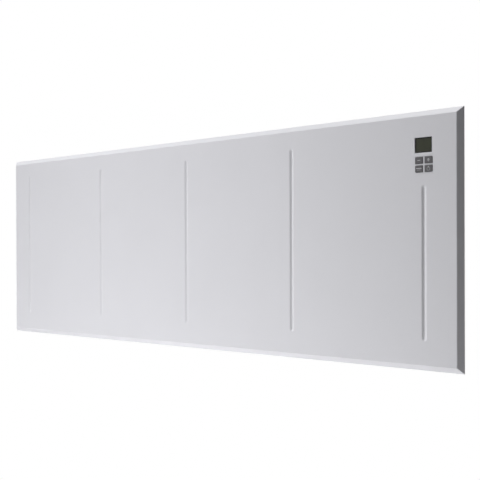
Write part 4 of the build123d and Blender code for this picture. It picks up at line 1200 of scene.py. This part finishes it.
def floor_finish(stage):
    """Pale floor that keeps shadows and fades into the white surroundings at its rim."""
    made = Finish("studio floor", (0.75, 0.75, 0.75), 0.9, shine=0)
    tree, nodes = made.tree, made.tree.nodes
    made.tint(made.noise(3.0), 0.99)
    away = made.node("VectorMath", "Vector", Vector=made.place).node
    away.operation = "LENGTH"
    plain, least_white = abs(stage.floor_z) + 0.3, 0.3
    rim = (stage.floor_radius**2 + stage.floor_z**2) ** 0.5
    fade = made.node("MapRange", "Result", Value=away.outputs["Value"], To_Min=least_white, To_Max=1,
                     From_Min=plain, From_Max=rim)
    fade.node.interpolation_type = "SMOOTHSTEP"
    faded = math_node(tree, "MULTIPLY", fade, seen_rays(tree))
    white = mix_shaders(tree, faded, made.shader, nodes.new("ShaderNodeEmission"))
    behind = nodes.new("ShaderNodeNewGeometry").outputs["Backfacing"]
    below = mix_shaders(tree, behind, white, nodes.new("ShaderNodeBsdfTransparent"))
    tree.links.new(below.outputs[0], nodes["Material Output"].inputs["Surface"])
    return made.material


def surroundings(scene, stage):
    """White surroundings where they are seen, and a dim soft light from all round."""
    scene.world = bpy.data.worlds.new("studio surroundings")
    scene.world.use_nodes = True
    tree = scene.world.node_tree
    dim, white = tree.nodes["Background"], tree.nodes.new("ShaderNodeBackground")
    dim.inputs["Strength"].default_value = stage.ambient
    for shader in (dim, white):
        shader.inputs["Color"].default_value = (1, 1, 1, 1)
    blend = mix_shaders(tree, seen_rays(tree), dim, white)
    tree.links.new(blend.outputs[0], tree.nodes["World Output"].inputs["Surface"])


class HEATER_OT_stage(PieceOperator, bpy.types.Operator):
    """Sets the floor, the lamps, the surroundings and the camera"""

    bl_idname = "heater.stage"
    bl_label = "Stage"

    def execute(self, context):
        stage = context.scene.heater_stage
        start_clean()
        bpy.ops.mesh.primitive_circle_add(vertices=96, radius=stage.floor_radius, fill_type="NGON",
                                          location=(0, 0, stage.floor_z))
        floor = begin("studio_floor")
        closed()
        floor.data.materials.append(floor_finish(stage))
        surroundings(context.scene, stage)
        for name, place, aim, size, power in LAMPS:
            start_clean()
            bpy.ops.object.light_add(type="AREA", location=place)
            lamp = context.object
            lamp.name = lamp.data.name = name
            lamp.rotation_euler = (Vector(aim) - Vector(place)).to_track_quat("-Z", "Y").to_euler()
            lamp.data.shape, lamp.data.size, lamp.data.size_y = "RECTANGLE", *size
            lamp.data.energy = power * stage.lamp_level
            lamp.visible_camera = False
        start_clean()
        bpy.ops.object.camera_add(location=CAMERA_PLACE,
                                  rotation=[radians(turn) for turn in CAMERA_TURN])
        camera = context.object
        camera.name = "studio_camera"
        camera.data.lens, camera.data.sensor_width, camera.data.shift_y = stage.lens, 36, CAMERA_SHIFT
        context.scene.camera = camera
        context.scene.view_settings.view_transform = "Standard"
        return {"FINISHED"}


def math_node(tree, operation, first, second):
    """The sum or product of two outputs, no more than 1."""
    made = tree.nodes.new("ShaderNodeMath")
    made.operation, made.use_clamp = operation, True
    tree.links.new(first, made.inputs[0])
    tree.links.new(second, made.inputs[1])
    return made.outputs[0]


def mix_shaders(tree, share, first, second):
    """Two shaders mixed, the second by this share."""
    made = tree.nodes.new("ShaderNodeMixShader")
    tree.links.new(share, made.inputs["Fac"])
    tree.links.new(first.outputs[0], made.inputs[1])
    tree.links.new(second.outputs[0], made.inputs[2])
    return made


def seen_rays(tree):
    """1 for camera, glossy and transmission rays."""
    rays = tree.nodes.new("ShaderNodeLightPath").outputs
    total = rays["Is Camera Ray"]
    for kind in ("Is Glossy Ray", "Is Transmission Ray"):
        total = math_node(tree, "ADD", total, rays[kind])
    return total


OPERATORS = (
    HEATER_OT_stage, HEATER_OT_front_panel, HEATER_OT_display, HEATER_OT_keys, HEATER_OT_rear_casing,
    HEATER_OT_outlet_grille, HEATER_OT_casing_screws, HEATER_OT_wall_buffers, HEATER_OT_cable_gland,
    HEATER_OT_wall_bracket, HEATER_OT_inner_finishes,
)


class HEATER_PT_pieces(bpy.types.Panel):
    """Lists the pieces and their settings"""

    bl_label = "Wall panel heater"
    bl_idname = "HEATER_PT_pieces"
    bl_space_type = "VIEW_3D"
    bl_region_type = "UI"
    bl_category = "Heater"

    def draw(self, context):
        for operator in OPERATORS:
            self.layout.operator(operator.bl_idname)
        for name, group in SETTINGS.items():
            box = self.layout.box()
            for setting in group.__annotations__:
                box.prop(getattr(context.scene, name), setting)


def register():
    for group in (*SETTINGS.values(), *OPERATORS, HEATER_PT_pieces):
        bpy.utils.register_class(group)
    for name, group in SETTINGS.items():
        setattr(bpy.types.Scene, name, PointerProperty(type=group))


def unregister():
    for name in SETTINGS:
        delattr(bpy.types.Scene, name)
    for group in reversed((*SETTINGS.values(), *OPERATORS, HEATER_PT_pieces)):
        bpy.utils.unregister_class(group)


def main():
    register()
    for operator in OPERATORS:
        group, name = operator.bl_idname.split(".")
        getattr(getattr(bpy.ops, group), name)()


if __name__ == "__main__":
    main()
